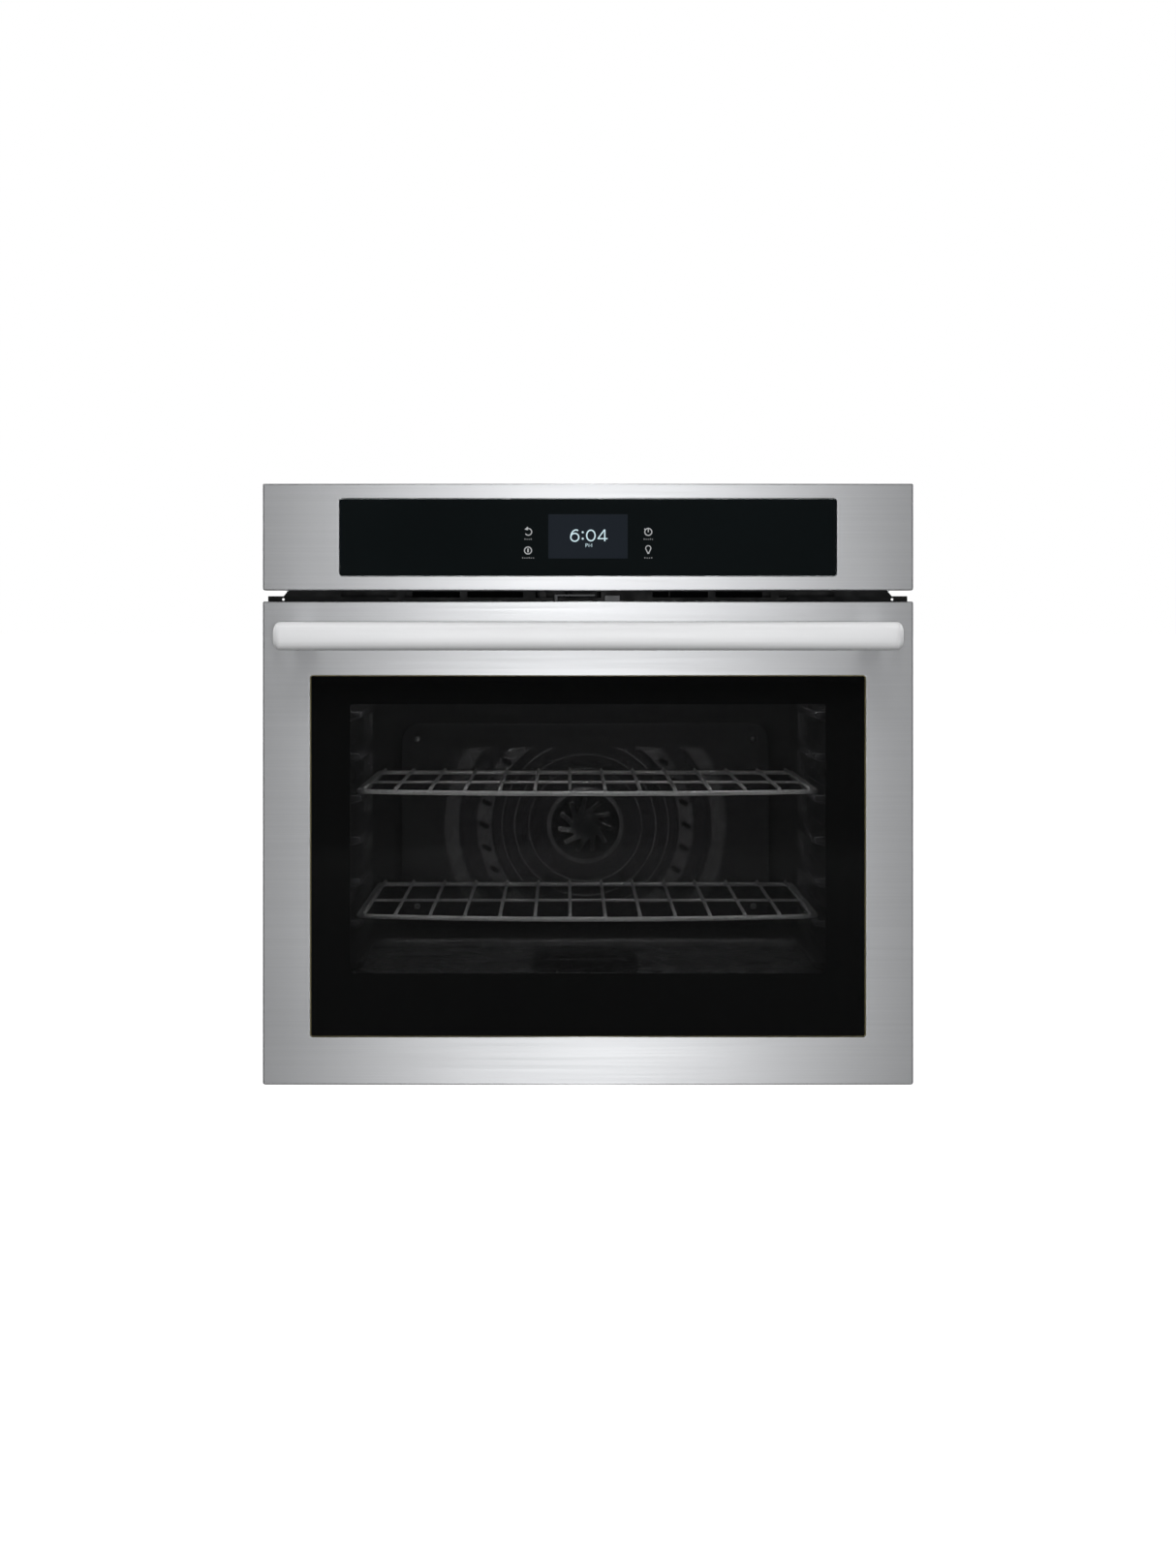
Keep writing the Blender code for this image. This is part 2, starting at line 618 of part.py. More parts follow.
lathe(
    "conduit_gland",
    [(8, 684), (12, 684), (12, 686), (16, 686), (16, 690), (12, 690), (12, 692), (16, 692), (16, 697), (11, 698), (11, 709), (8, 709)],
    "Z", (-280, 570), 16, "galvanised", closed=True,
)

# ---------------------------------------------------------------- door
skin_rect = (-HALF, HALF, DOOR_BOTTOM, DOOR_TOP)
skin = pan("door_skin", rrect(*skin_rect, 2, 2), inset(*skin_rect, SHEET, 2, 2), "Y", 0, SHEET, 30, "stainless", "door")
NOTCHES = [box_data(s * HINGE_X - 6, s * HINGE_X + 6, 11, 60, -5, 42) for s in (-1, 1)]
cut(skin, prism_data(rrect(-325.4, 325.4, 61.8, 485.4, 3, 2), "Y", -5, 8), *NOTCHES)
prism("door_outer_glass", rrect(-324.9, 324.9, 62.2, 485.0, 2.7, 2), "Y", 0.4, 4.4, "window_glass", "door")
prism("door_middle_glass", rrect(-296, 296, 118, 470), "Y", 23, 26, "clear_glass", "door")
prism("door_inner_glass", rrect(-296, 296, 118, 470), "Y", 38.6, 42.4, "clear_glass", "door")
pack_frame = ring(
    "door_glass_frame", rrect(-302, 302, 110, 478), rrect(-296.5, 296.5, 117.5, 470.5), "Y", 8, 42.4, "aluminium", "door",
)
spacer = several(
    "door_glass_frame_spacer",
    [box_data(-299, -286, 26.4, 38.2, 112, 476), box_data(286, 299, 26.4, 38.2, 112, 476)],
)
boolean(pack_frame, spacer, "UNION")
rails = several(
    "door_glass_frame_rails",
    [box_data(-292, 292, 26.4, 38.2, 112, 128), box_data(-292, 292, 26.4, 38.2, 460, 474)],
)
boolean(pack_frame, rails, "UNION")
ring("door_insulation", rrect(-330, 330, 22, 560), rrect(-303, 303, 109, 479), "Y", 6, 42, "insulation", "door")
liner_rect = (-374, 374, 12, 567)
liner = pan("door_liner", rrect(*liner_rect, 6, 2), inset(*liner_rect, SHEET, 6, 2), "Y", 44, 44 - SHEET, 30.6, "porcelain", "door")
cut(liner, prism_data(rrect(-283, 283, 131, 457, 8, 3), "Y", 40, 50), *NOTCHES)
trim = box("door_top_trim", -374, 374, 30.4, 44, 567.4, 572, "black_plastic", "door")
pads = [prism_data([(s * 233, 571.5), (s * 237, 577.6), (s * 356, 577.6), (s * 356, 571.5)], "Y", 33, 41) for s in (-1, 1)]
fuse(trim, *pads, box_data(20, 38, 36, 40, 571.5, 580))
cut(
    trim,
    prism_data([(-46, 31.4), (6, 31.4), (6, 41.4), (-29, 41.4), (-29, 50), (-46, 50)], "Z", 560, 580),
)

# handle: a bar with a flat back and a crowned front, closed by rounded ends
def handle_section(scale_z, scale_d):
    pts = []
    for k in range(9):
        a = math.radians(-90 + 180 * k / 8)
        d = -46 - 16 * scale_d * abs(math.cos(a)) ** 0.75
        z = 16.5 * scale_z * math.copysign(abs(math.sin(a)) ** 0.85, math.sin(a))
        pts.append((d, 532 + z))
    pts += [(-42, 532 + 13.5 * scale_z), (-42, 532 - 13.5 * scale_z)]
    return pts


stations = [(-363.8, 0.55, 0.35), (-362.5, 0.78, 0.62), (-358, 0.93, 0.85), (-350, 1.0, 1.0), (350, 1.0, 1.0),
            (358, 0.93, 0.85), (362.5, 0.78, 0.62), (363.8, 0.55, 0.35)]
hverts, hfaces, m = [], [], 11
for x, sz, sd in stations:
    hverts += [(x, d, z) for d, z in handle_section(sz, sd)]
for i in range(len(stations) - 1):
    hfaces += [(i * m + k, i * m + (k + 1) % m, (i + 1) * m + (k + 1) % m, (i + 1) * m + k) for k in range(m)]
hfaces += [tuple(range(m)), tuple(range((len(stations) - 1) * m, len(stations) * m))]
add("handle_bar", hverts, hfaces, "stainless", "door", smooth=True)
for side, s in (("left", -1), ("right", 1)):
    pts = rrect(s * 332 - 15, s * 332 + 15, 521, 543, 6, 2)
    prism(side + "_handle_mount", pts, "Y", -41.7, -GAP, "stainless", "door", smooth=True)

# ---------------------------------------------------------------- racks
def front_bow(x):
    """Depth of the rack's front bar at x: it bows towards the door."""
    return 95 - 25 * (1 - (x / 276.0) ** 2)


def rack(name):
    zb = RACK_BAR_Z[name]
    parent = name + "_body"
    loop = [(276, 475, zb), (276, 497, zb), (264, 509, zb), (-264, 509, zb), (-276, 497, zb), (-276, 475, zb),
            (-276, 110, zb), (-272, 99, zb)]
    for k in range(1, 10):
        x = -272 + 544 * k / 10
        loop.append((x, front_bow(x), zb - 1.2 * (1 - (x / 276) ** 2)))
    loop += [(272, 99, zb), (276, 110, zb)]
    frame = tube(name, loop, 2.8, 6, "chrome_wire", parent, loop=True)
    wires = []
    for k in range(14):
        x = -272 + 544 * k / 13
        if k in (0, 13):
            x *= 268.0 / 272.0
        df = front_bow(x) - 4.5
        wires.append(tube_data([(x, df, zb + 3.9), (x, 511.5, zb + 3.9)], 2.0, 6))
    boolean(frame, several(name + "_wires", wires), "UNION")
    cross = tube_data([(-277, 297, zb - 0.6), (277, 297, zb - 0.6)], 1.8, 6, turn=0.2)
    boolean(frame, several(name + "_cross_bars", [cross]), "UNION")
    return frame


rack("upper_rack")
rack("lower_rack")
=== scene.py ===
"""The look of the wall oven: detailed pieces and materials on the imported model, with a studio floor, lights and a camera.

Lengths in the tables below are millimetres. A point is (x, d, z), where d is the depth behind the door's front face.
"""

import json
import math

import bmesh
import bpy
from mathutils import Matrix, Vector

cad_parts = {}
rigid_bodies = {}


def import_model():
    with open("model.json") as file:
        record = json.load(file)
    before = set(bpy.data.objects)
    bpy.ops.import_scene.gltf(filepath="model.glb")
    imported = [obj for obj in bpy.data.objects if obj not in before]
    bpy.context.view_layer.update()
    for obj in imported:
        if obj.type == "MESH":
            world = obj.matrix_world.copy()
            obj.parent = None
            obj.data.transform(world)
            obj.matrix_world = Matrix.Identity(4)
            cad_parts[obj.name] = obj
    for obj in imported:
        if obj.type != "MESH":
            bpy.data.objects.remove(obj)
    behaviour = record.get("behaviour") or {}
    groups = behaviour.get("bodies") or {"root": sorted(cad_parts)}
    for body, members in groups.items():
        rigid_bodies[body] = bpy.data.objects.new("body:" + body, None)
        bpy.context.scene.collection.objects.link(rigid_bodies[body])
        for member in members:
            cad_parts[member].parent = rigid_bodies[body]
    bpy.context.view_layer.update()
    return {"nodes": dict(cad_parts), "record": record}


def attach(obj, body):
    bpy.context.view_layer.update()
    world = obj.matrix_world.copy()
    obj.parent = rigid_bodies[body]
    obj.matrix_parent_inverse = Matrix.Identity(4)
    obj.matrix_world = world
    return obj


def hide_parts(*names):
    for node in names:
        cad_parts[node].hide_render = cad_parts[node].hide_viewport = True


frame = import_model()
NODES = frame["nodes"]
MM = 0.001
D0 = 281.5
LINKED = bpy.context.scene.collection.objects


# ------------------------------------------------------------------ geometry helpers
def P(x, d, z):
    return (x * MM, (d - D0) * MM, z * MM)


def put(name, verts, faces, material, body, slot, replaces=(), smooth=True, angle=35.0, recalc=True):
    """A piece from points in (x, d, z) millimetres."""
    mesh = bpy.data.meshes.new(name)
    mesh.from_pydata([P(*v) for v in verts], [], faces)
    if recalc:
        bm = bmesh.new()
        bm.from_mesh(mesh)
        bmesh.ops.recalc_face_normals(bm, faces=bm.faces[:])
        bm.to_mesh(mesh)
        bm.free()
    obj = bpy.data.objects.new(name, mesh)
    LINKED.link(obj)
    mesh.materials.append(material)
    if smooth:
        mesh.shade_smooth()
        mesh.set_sharp_from_angle(angle=math.radians(angle))
    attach(obj, body)
    if replaces:
        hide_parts(*replaces)
    return obj


def rr(u0, u1, v0, v1, r, n=4):
    """A rounded rectangle. r is one radius, or (bottom right, top right, top left, bottom left)."""
    radii = r if isinstance(r, (tuple, list)) else (r,) * 4
    pts = []
    for (su, sv, start), q in zip(((1, 0, -90), (1, 1, 0), (0, 1, 90), (0, 0, 180)), radii):
        q = max(q, 0.02)
        cu = u1 - q if su else u0 + q
        cv = v1 - q if sv else v0 + q
        for k in range(n + 1):
            a = math.radians(start + 90.0 * k / n)
            pts.append((cu + q * math.cos(a), cv + q * math.sin(a)))
    return pts


def rr_in(rect, r, t, n=4):
    """rect = (u0, u1, v0, v1) moved inwards by t, or outwards if t is negative."""
    radii = r if isinstance(r, (tuple, list)) else (r,) * 4
    return rr(rect[0] + t, rect[1] - t, rect[2] + t, rect[3] - t, tuple(max(q - t, 0.02) for q in radii), n)


def at_d(loop, d):
    return [(u, d, v) for u, v in loop]


def at_z(loop, z):
    return [(u, v, z) for u, v in loop]


def at_x(loop, x):
    return [(x, u, v) for u, v in loop]


def loft_data(loops, wrap=False, caps=(True, True)):
    n = len(loops[0])
    verts = [p for loop in loops for p in loop]
    faces = []
    m = len(loops)
    for k in range(m if wrap else m - 1):
        b, c = k * n, ((k + 1) % m) * n
        faces += [(b + i, b + (i + 1) % n, c + (i + 1) % n, c + i) for i in range(n)]
    if not wrap:
        if caps[0]:
            faces.append(tuple(range(n)))
        if caps[1]:
            faces.append(tuple(range((m - 1) * n, m * n)))
    return verts, faces


def loft(name, loops, material, body, slot, replaces=(), wrap=False, caps=(True, True), **kw):
    return put(name, *loft_data(loops, wrap, caps), material, body, slot, replaces, **kw)


def circle(cu, cv, r, n, turn=0.0):
    return [(cu + r * math.cos(turn + 2 * math.pi * k / n), cv + r * math.sin(turn + 2 * math.pi * k / n)) for k in range(n)]


def turned(profile, axis, centre, n):
    """Loops of a turned shape from (radius, along) points."""
    at = {"X": at_x, "Y": at_d, "Z": at_z}[axis]
    return [at(circle(centre[0], centre[1], max(r, 0.01), n), a) for r, a in profile]


def tube_data(path, r, sides, loop=False, round_ends=False):
    n = len(path)
    verts, faces = [], []
    pts = [Vector(p) for p in path]
    up = None
    rings = []
    for i in range(n):
        a = pts[(i - 1) % n] if (loop or i) else pts[i]
        b = pts[(i + 1) % n] if (loop or i < n - 1) else pts[i]
        t = (b - a).normalized()
        if up is None:
            up = Vector((0, 0, 1)) if abs(t.z) < 0.9 else Vector((1, 0, 0))
        up = (up - t * up.dot(t)).normalized()
        side = t.cross(up)
        rings.append((pts[i], t, up.copy(), side))
    sections = [(p, up_, side, r) for p, t, up_, side in rings]
    if round_ends and not loop:
        head, tail = [], []
        for k in (3, 2, 1):
            a = math.pi / 2 * k / 3.3
            p, t, u, s = rings[0]
            head.append((p - t * r * math.sin(a), u, s, r * math.cos(a)))
            p, t, u, s = rings[-1]
            tail.insert(0, (p + t * r * math.sin(a), u, s, r * math.cos(a)))
        sections = head + sections + tail
    for p, u, s, q in sections:
        for k in range(sides):
            w = 2 * math.pi * (k + 0.5) / sides
            verts.append(tuple(p + (s * math.cos(w) + u * math.sin(w)) * q))
    m = len(sections)
    for i in range(m if loop else m - 1):
        j = (i + 1) % m
        for k in range(sides):
            q = (k + 1) % sides
            faces.append((i * sides + k, i * sides + q, j * sides + q, j * sides + k))
    if not loop:
        faces += [tuple(range(sides)), tuple(range((m - 1) * sides, m * sides))]
    return verts, faces


def joined(parts):
    verts, faces = [], []
    for v, f in parts:
        base = len(verts)
        verts += v
        faces += [tuple(base + i for i in face) for face in f]
    return verts, faces


def fillet(path, radius, steps=4, closed=False):
    pts = [Vector(p) for p in path]
    out = []
    n = len(pts)
    for i in range(n):
        if not closed and i in (0, n - 1):
            out.append(tuple(pts[i]))
            continue
        a, b, c = pts[(i - 1) % n], pts[i], pts[(i + 1) % n]
        la, lc = (a - b).length, (c - b).length
        q = min(radius, la * 0.49, lc * 0.49)
        p0, p1 = b + (a - b) * (q / la), b + (c - b) * (q / lc)
        for s in range(steps + 1):
            t = s / steps
            out.append(tuple(p0 * (1 - t) ** 2 + b * (2 * t * (1 - t)) + p1 * t * t))
    return out


def ribbon_data(path, width, d0, d1, closed=False):
    """A flat stroke in the front plane, along (x, z) points."""
    n = len(path)
    left, right = [], []
    for i in range(n):
        a = path[(i - 1) % n] if (closed or i) else path[i]
        b = path[(i + 1) % n] if (closed or i < n - 1) else path[i]
        tx, tz = b[0] - a[0], b[1] - a[1]
        size = math.hypot(tx, tz) or 1.0
        nx, nz = -tz / size * width / 2, tx / size * width / 2
        left.append((path[i][0] + nx, path[i][1] + nz))
        right.append((path[i][0] - nx, path[i][1] - nz))
    verts = []
    for (lx, lz), (rx, rz) in zip(left, right):
        verts += [(lx, d0, lz), (rx, d0, rz), (rx, d1, rz), (lx, d1, lz)]
    faces = []
    for i in range(n if closed else n - 1):
        b, c = 4 * i, 4 * ((i + 1) % n)
        faces += [(b + k, b + (k + 1) % 4, c + (k + 1) % 4, c + k) for k in range(4)]
    if not closed:
        faces += [(0, 1, 2, 3), (4 * n - 4, 4 * n - 3, 4 * n - 2, 4 * n - 1)]
    return verts, faces


def arc(cx, cz, rx, rz, a0, a1, n=20):
    return [(cx + rx * math.cos(math.radians(a0 + (a1 - a0) * k / n)), cz + rz * math.sin(math.radians(a0 + (a1 - a0) * k / n))) for k in range(n + 1)]


def bezier(p0, p1, p2, p3, n=14):
    out = []
    for k in range(n + 1):
        t = k / n
        w = ((1 - t) ** 3, 3 * t * (1 - t) ** 2, 3 * t * t * (1 - t), t ** 3)
        out.append(tuple(sum(w[i] * p[j] for i, p in enumerate((p0, p1, p2, p3))) for j in (0, 1)))
    return out


def box_data(x0, x1, d0, d1, z0, z1, bevel=0.0):
    if bevel:
        rect = (x0, x1, z0, z1)
        loops = [at_d(rr_in(rect, bevel, bevel, 2), d0), at_d(rr_in(rect, bevel, 0, 2), d0 + bevel),
                 at_d(rr_in(rect, bevel, 0, 2), d1 - bevel), at_d(rr_in(rect, bevel, bevel, 2), d1)]
        return loft_data(loops)
    v = [(x, d, z) for x in (x0, x1) for d in (d0, d1) for z in (z0, z1)]
    f = [(0, 1, 3, 2), (4, 6, 7, 5), (0, 4, 5, 1), (2, 3, 7, 6), (0, 2, 6, 4), (1, 5, 7, 3)]
    return v, f


# ------------------------------------------------------------------ materials
class Shade:
    """A material's node tree, with short names for what the recipes below need."""

    def __init__(self, name, colour, rough, metal=0.0, **sockets):
        self.m = bpy.data.materials.new(name)
        self.m.use_nodes = True
        self.t = self.m.node_tree
        self.bsdf = self.t.nodes["Principled BSDF"]
        self.set("Base Color", (*colour, 1.0))
        self.set("Roughness", rough)
        self.set("Metallic", metal)
        for key, value in sockets.items():
            self.set(key.replace("_", " "), value)
        self.m.diffuse_color = (*colour, 1.0)
        self.coord = self.t.nodes.new("ShaderNodeTexCoord").outputs["Object"]

    def set(self, socket, value):
        self.bsdf.inputs[socket].default_value = value

    def link(self, a, b):
        self.t.links.new(a, b)

    def mapped(self, scale, rotation=(0, 0, 0)):
        node = self.t.nodes.new("ShaderNodeMapping")
        node.inputs["Scale"].default_value = scale
        node.inputs["Rotation"].default_value = rotation
        self.link(self.coord, node.inputs["Vector"])
        return node.outputs["Vector"]

    def noise(self, scale, vector=None, detail=3.0, rough=0.55, distortion=0.0):
        node = self.t.nodes.new("ShaderNodeTexNoise")
        node.inputs["Scale"].default_value = scale
        node.inputs["Detail"].default_value = detail
        node.inputs["Roughness"].default_value = rough
        node.inputs["Distortion"].default_value = distortion
        self.link(vector or self.coord, node.inputs["Vector"])
        return node.outputs["Fac"]

    def voronoi(self, scale, vector=None, feature="F1", output="Distance", randomness=1.0):
        node = self.t.nodes.new("ShaderNodeTexVoronoi")
        node.feature = feature
        node.inputs["Scale"].default_value = scale
        node.inputs["Randomness"].default_value = randomness
        self.link(vector or self.coord, node.inputs["Vector"])
        return node.outputs[output]

    def wave(self, scale, vector=None, kind="BANDS", direction="X", distortion=0.0):
        node = self.t.nodes.new("ShaderNodeTexWave")
        node.wave_type = kind
        if kind == "BANDS":
            node.bands_direction = direction
        node.inputs["Scale"].default_value = scale
        node.inputs["Distortion"].default_value = distortion
        self.link(vector or self.coord, node.inputs["Vector"])
        return node.outputs["Fac"]

    def ramp(self, factor, stops):
        node = self.t.nodes.new("ShaderNodeValToRGB")
        elements = node.color_ramp.elements
        while len(elements) < len(stops):
            elements.new(0.5)
        for element, (position, colour) in zip(elements, stops):
            element.position = position
            element.color = (*colour, 1.0) if isinstance(colour, tuple) else (colour, colour, colour, 1.0)
        self.link(factor, node.inputs["Fac"])
        return node.outputs["Color"]

    def span(self, value, low, high, start=0.0, end=1.0):
        node = self.t.nodes.new("ShaderNodeMapRange")
        for key, number in (("From Min", start), ("From Max", end), ("To Min", low), ("To Max", high)):
            node.inputs[key].default_value = number
        self.link(value, node.inputs["Value"])
        return node.outputs["Result"]

    def math(self, operation, a, b=None, c=None):
        node = self.t.nodes.new("ShaderNodeMath")
        node.operation = operation
        for socket, value in zip(node.inputs, (a, b, c)):
            if value is None:
                continue
            if isinstance(value, (int, float)):
                socket.default_value = value
            else:
                self.link(value, socket)
        return node.outputs["Value"]

    def mix(self, factor, a, b):
        node = self.t.nodes.new("ShaderNodeMix")
        node.data_type = "RGBA"
        for socket, value in ((node.inputs["Factor"], factor), (node.inputs["A"], a), (node.inputs["B"], b)):
            if isinstance(value, tuple):
                socket.default_value = (*value, 1.0)
            elif isinstance(value, (int, float)):
                socket.default_value = value
            else:
                self.link(value, socket)
        return node.outputs["Result"]

    def bump(self, height, strength, distance=0.001):
        node = self.t.nodes.new("ShaderNodeBump")
        node.inputs["Strength"].default_value = strength
        node.inputs["Distance"].default_value = distance
        self.link(height, node.inputs["Height"])
        self.link(node.outputs["Normal"], self.bsdf.inputs["Normal"])

    def colour(self, output):
        self.link(output, self.bsdf.inputs["Base Color"])

    def rough(self, output):
        self.link(output, self.bsdf.inputs["Roughness"])


def brushed(name, dark, light, rough, aniso=0.6, along="X", bump=0.05):
    """Metal brushed along X or Z: long streaks in its colour, its gloss and its surface."""
    s = Shade(name, light, rough, 1.0, Anisotropic=aniso, Anisotropic_Rotation=0.25 if along == "X" else 0.0)
    fine = s.mapped((5, 60, 1900) if along == "X" else (1900, 60, 5))
    wide = s.mapped((2.2, 20, 260) if along == "X" else (260, 20, 2.2))
    a = s.noise(1.0, fine, 3.0)
    b = s.noise(1.0, wide, 4.0, 0.6)
    both = s.math("MULTIPLY_ADD", a, 0.55, s.math("MULTIPLY", b, 0.45))
    cloud = s.noise(4.0, None, 2.0)
    tone = s.math("MULTIPLY_ADD", cloud, 0.35, s.math("MULTIPLY", both, 0.75))
    s.colour(s.ramp(tone, [(0.30, dark), (0.72, light)]))
    s.rough(s.span(both, rough - 0.05, rough + 0.07, 0.25, 0.75))
    s.bump(both, bump, 0.0004)
    tangent = s.t.nodes.new("ShaderNodeTangent")
    tangent.direction_type = "RADIAL"
    tangent.axis = "Z"
    s.link(tangent.outputs["Tangent"], s.bsdf.inputs["Tangent"])
    return s.m


def enamel(name, base, speck, rough=0.16):
    """Black porcelain enamel with fine pale specks and a faint orange-peel surface."""
    s = Shade(name, base, rough, 0.0, Coat_Weight=0.25, Coat_Roughness=0.12)
    cells = s.voronoi(420.0)
    pick = s.noise(160.0, None, 2.0)
    dots = s.math("LESS_THAN", cells, 0.16)
    chosen = s.math("MULTIPLY", dots, s.math("GREATER_THAN", pick, 0.55))
    tone = s.mix(s.noise(9.0, None, 4.0), tuple(c * 0.75 for c in base), tuple(c * 1.3 for c in base))
    s.colour(s.mix(chosen, tone, speck))
    s.rough(s.span(s.noise(35.0, None, 3.0), rough - 0.05, rough + 0.1, 0.3, 0.7))
    s.bump(s.noise(230.0, None, 2.0), 0.06, 0.0006)
    return s.m


def galvanised(name):
    s = Shade(name, (0.55, 0.57, 0.58), 0.42, 0.9)
    spangle = s.voronoi(105.0, s.mapped((1, 1, 1)), output="Color")
    grey = s.math("MULTIPLY", s.span(s.noise(11.0, None, 4.0), 0.8, 1.1, 0.3, 0.7), 1.0)
    sep = s.t.nodes.new("ShaderNodeSeparateColor")
    s.link(spangle, sep.inputs["Color"])
    tone = s.math("MULTIPLY", s.span(sep.outputs["Red"], 0.42, 0.62), grey)
    s.colour(s.ramp(tone, [(0.30, (0.44, 0.455, 0.465)), (0.75, (0.64, 0.66, 0.67))]))
    s.rough(s.span(sep.outputs["Green"], 0.36, 0.48))
    s.bump(s.noise(300.0, None, 3.0), 0.08, 0.0004)
    return s.m


def painted(name, base, rough=0.5, grain=420.0, bump=0.25, metal=0.0, level=0.5):
    s = Shade(name, base, rough, metal, Specular_IOR_Level=level)
    s.colour(s.mix(s.noise(14.0, None, 4.0), tuple(c * 0.72 for c in base), tuple(min(1.0, c * 1.3) for c in base)))
    s.rough(s.span(s.noise(60.0, None, 3.0), rough - 0.08, rough + 0.12, 0.3, 0.7))
    s.bump(s.noise(grain, None, 3.0), bump, 0.0004)
    return s.m


def panes(name, alpha, tint=(0.006, 0.008, 0.009), level=0.12, rough=0.02):
    """Tinted glass. Its alpha is the share of light it holds back."""
    s = Shade(name, tint, rough, 0.0, Alpha=alpha, Specular_IOR_Level=level)
    s.colour(s.mix(s.noise(6.0, None, 3.0), tuple(c * 0.9 for c in tint), tuple(c * 1.15 for c in tint)))
    s.rough(s.span(s.noise(9.0, None, 5.0), rough, rough + 0.025, 0.35, 0.7))
    s.m.surface_render_method = "BLENDED"
    return s.m


def lit(name, colour, strength):
    s = Shade(name, (0.02, 0.02, 0.02), 0.3, 0.0, Emission_Strength=strength)
    s.set("Emission Color", (*colour, 1.0))
    s.link(s.mix(s.noise(900.0, None, 1.0), tuple(c * 0.93 for c in colour), colour), s.bsdf.inputs["Emission Color"])
    return s.m


STEEL = brushed("stainless_brushed", (0.540, 0.547, 0.560), (0.655, 0.662, 0.675), 0.50, 0.95, bump=0.02)
PLAIN = brushed("steel_rolled", (0.34, 0.345, 0.35), (0.58, 0.585, 0.59), 0.36, 0.3)
LATCH = brushed("latch_plated", (0.035, 0.036, 0.037), (0.075, 0.076, 0.078), 0.5, 0.3)
ALU = brushed("aluminium_profile", (0.52, 0.53, 0.54), (0.74, 0.75, 0.76), 0.38, 0.4)
FAN = brushed("fan_sheet", (0.26, 0.26, 0.265), (0.46, 0.46, 0.465), 0.34, 0.2, bump=0.03)
GALV = galvanised("galvanised_sheet")
ENAMEL = enamel("porcelain_black", (0.020, 0.020, 0.0212), (0.14, 0.145, 0.155))
# Paler copy of the black porcelain: painted highlight, standing in for light caught on slopes, beads, the floor and
# rounded corners.
ENAMEL_PAINTED_HIGHLIGHT = enamel("porcelain_black_painted_highlight", (0.072, 0.072, 0.074), (0.19, 0.195, 0.205), 0.24)
# Darker copy of the black porcelain: painted shade, put in the floor groove where the recess lies in shadow.
ENAMEL_PAINTED_SHADE = enamel("porcelain_black_painted_shade", (0.009, 0.009, 0.0096), (0.08, 0.085, 0.09), 0.24)
ENAMEL_DOOR = enamel("porcelain_door", (0.016, 0.0165, 0.018), (0.12, 0.125, 0.135), 0.2)
DARK = painted("black_powder_coat", (0.0065, 0.007, 0.0075), 0.5, 520.0, 0.22, level=0.12)
PLASTIC = painted("black_plastic_grained", (0.0048, 0.0052, 0.0056), 0.55, 900.0, 0.12, level=0.1)
GREY_PLASTIC = painted("grey_plastic_grained", (0.075, 0.08, 0.085), 0.42, 700.0, 0.25)
ELEMENT = painted("heater_sheath", (0.055, 0.05, 0.047), 0.5, 260.0, 0.5, 0.35)
INSULATION = painted("glass_fibre", (0.62, 0.55, 0.30), 0.95, 90.0, 1.0)
WINDOW = panes("window_pane_tinted", 0.42, (0.0105, 0.0105, 0.0105))
INNER = panes("inner_pane_clear", 0.10, (0.01, 0.013, 0.012), 0.10)
BULB = panes("bulb_frosted", 0.55, (0.85, 0.84, 0.78), 0.5, 0.35)
LENS = panes("lens_glass", 0.30, (0.60, 0.63, 0.62), 0.6, 0.05)


def recolour(obj, choose, *materials):
    """Gives each face the extra material that choose(x, d, z) names by number, 0 for the piece's own."""
    base = len(obj.data.materials)
    for material in materials:
        obj.data.materials.append(material)
    for face in obj.data.polygons:
        c = face.center
        pick = choose(c.x / MM, c.y / MM + D0, c.z / MM, face.normal)
        face.material_index = 0 if not pick else base + pick - 1


def handle_painted_sheen():
    """Pale satin metal, finer and whiter than the sheet behind it: the near-white colour with little metal gloss is a
    painted reflection of the bright light above, standing in for the steel's sheen.
    """
    s = Shade("handle_satin_painted_sheen", (0.95, 0.955, 0.965), 0.46, 0.04, Specular_IOR_Level=0.4)
    streak = s.noise(1.0, s.mapped((7, 900, 900)), 3.0)
    s.colour(s.ramp(s.math("MULTIPLY_ADD", streak, 0.6, s.math("MULTIPLY", s.noise(7.0, None, 2.0), 0.4)),
                    [(0.3, (0.89, 0.895, 0.905)), (0.7, (0.945, 0.95, 0.96))]))
    s.rough(s.span(streak, 0.36, 0.48, 0.3, 0.7))
    s.bump(streak, 0.04, 0.0004)
    return s.m


def chrome_wire():
    s = Shade("rack_wire_plated", (0.80, 0.80, 0.805), 0.34, 0.85)
    s.colour(s.mix(s.noise(60.0, None, 4.0), (0.72, 0.72, 0.725), (0.86, 0.86, 0.87)))
    s.rough(s.span(s.noise(220.0, None, 3.0), 0.28, 0.42, 0.3, 0.7))
    s.bump(s.noise(520.0, None, 2.0), 0.03, 0.0003)
    return s.m


def black_glass(name, tint=(0.0090, 0.0122, 0.0131)):
    s = Shade(name, tint, 0.05, 0.0, Specular_IOR_Level=0.12)
    s.colour(s.mix(s.noise(5.0, None, 3.0), tuple(c * 0.8 for c in tint), tuple(c * 1.2 for c in tint)))
    s.rough(s.span(s.noise(10.0, None, 5.0), 0.015, 0.035, 0.35, 0.7))
    return s.m


def frit():
    """Black ceramic print on the back of the glass, with its dots too fine to see one by one."""
    s = Shade("frit_print", (0.0045, 0.006, 0.0064), 0.55, 0.0, Specular_IOR_Level=0.1)
    s.colour(s.mix(s.voronoi(900.0), (0.0038, 0.0052, 0.0056), (0.0052, 0.0068, 0.0072)))
    s.bump(s.voronoi(900.0), 0.1, 0.0002)
    return s.m


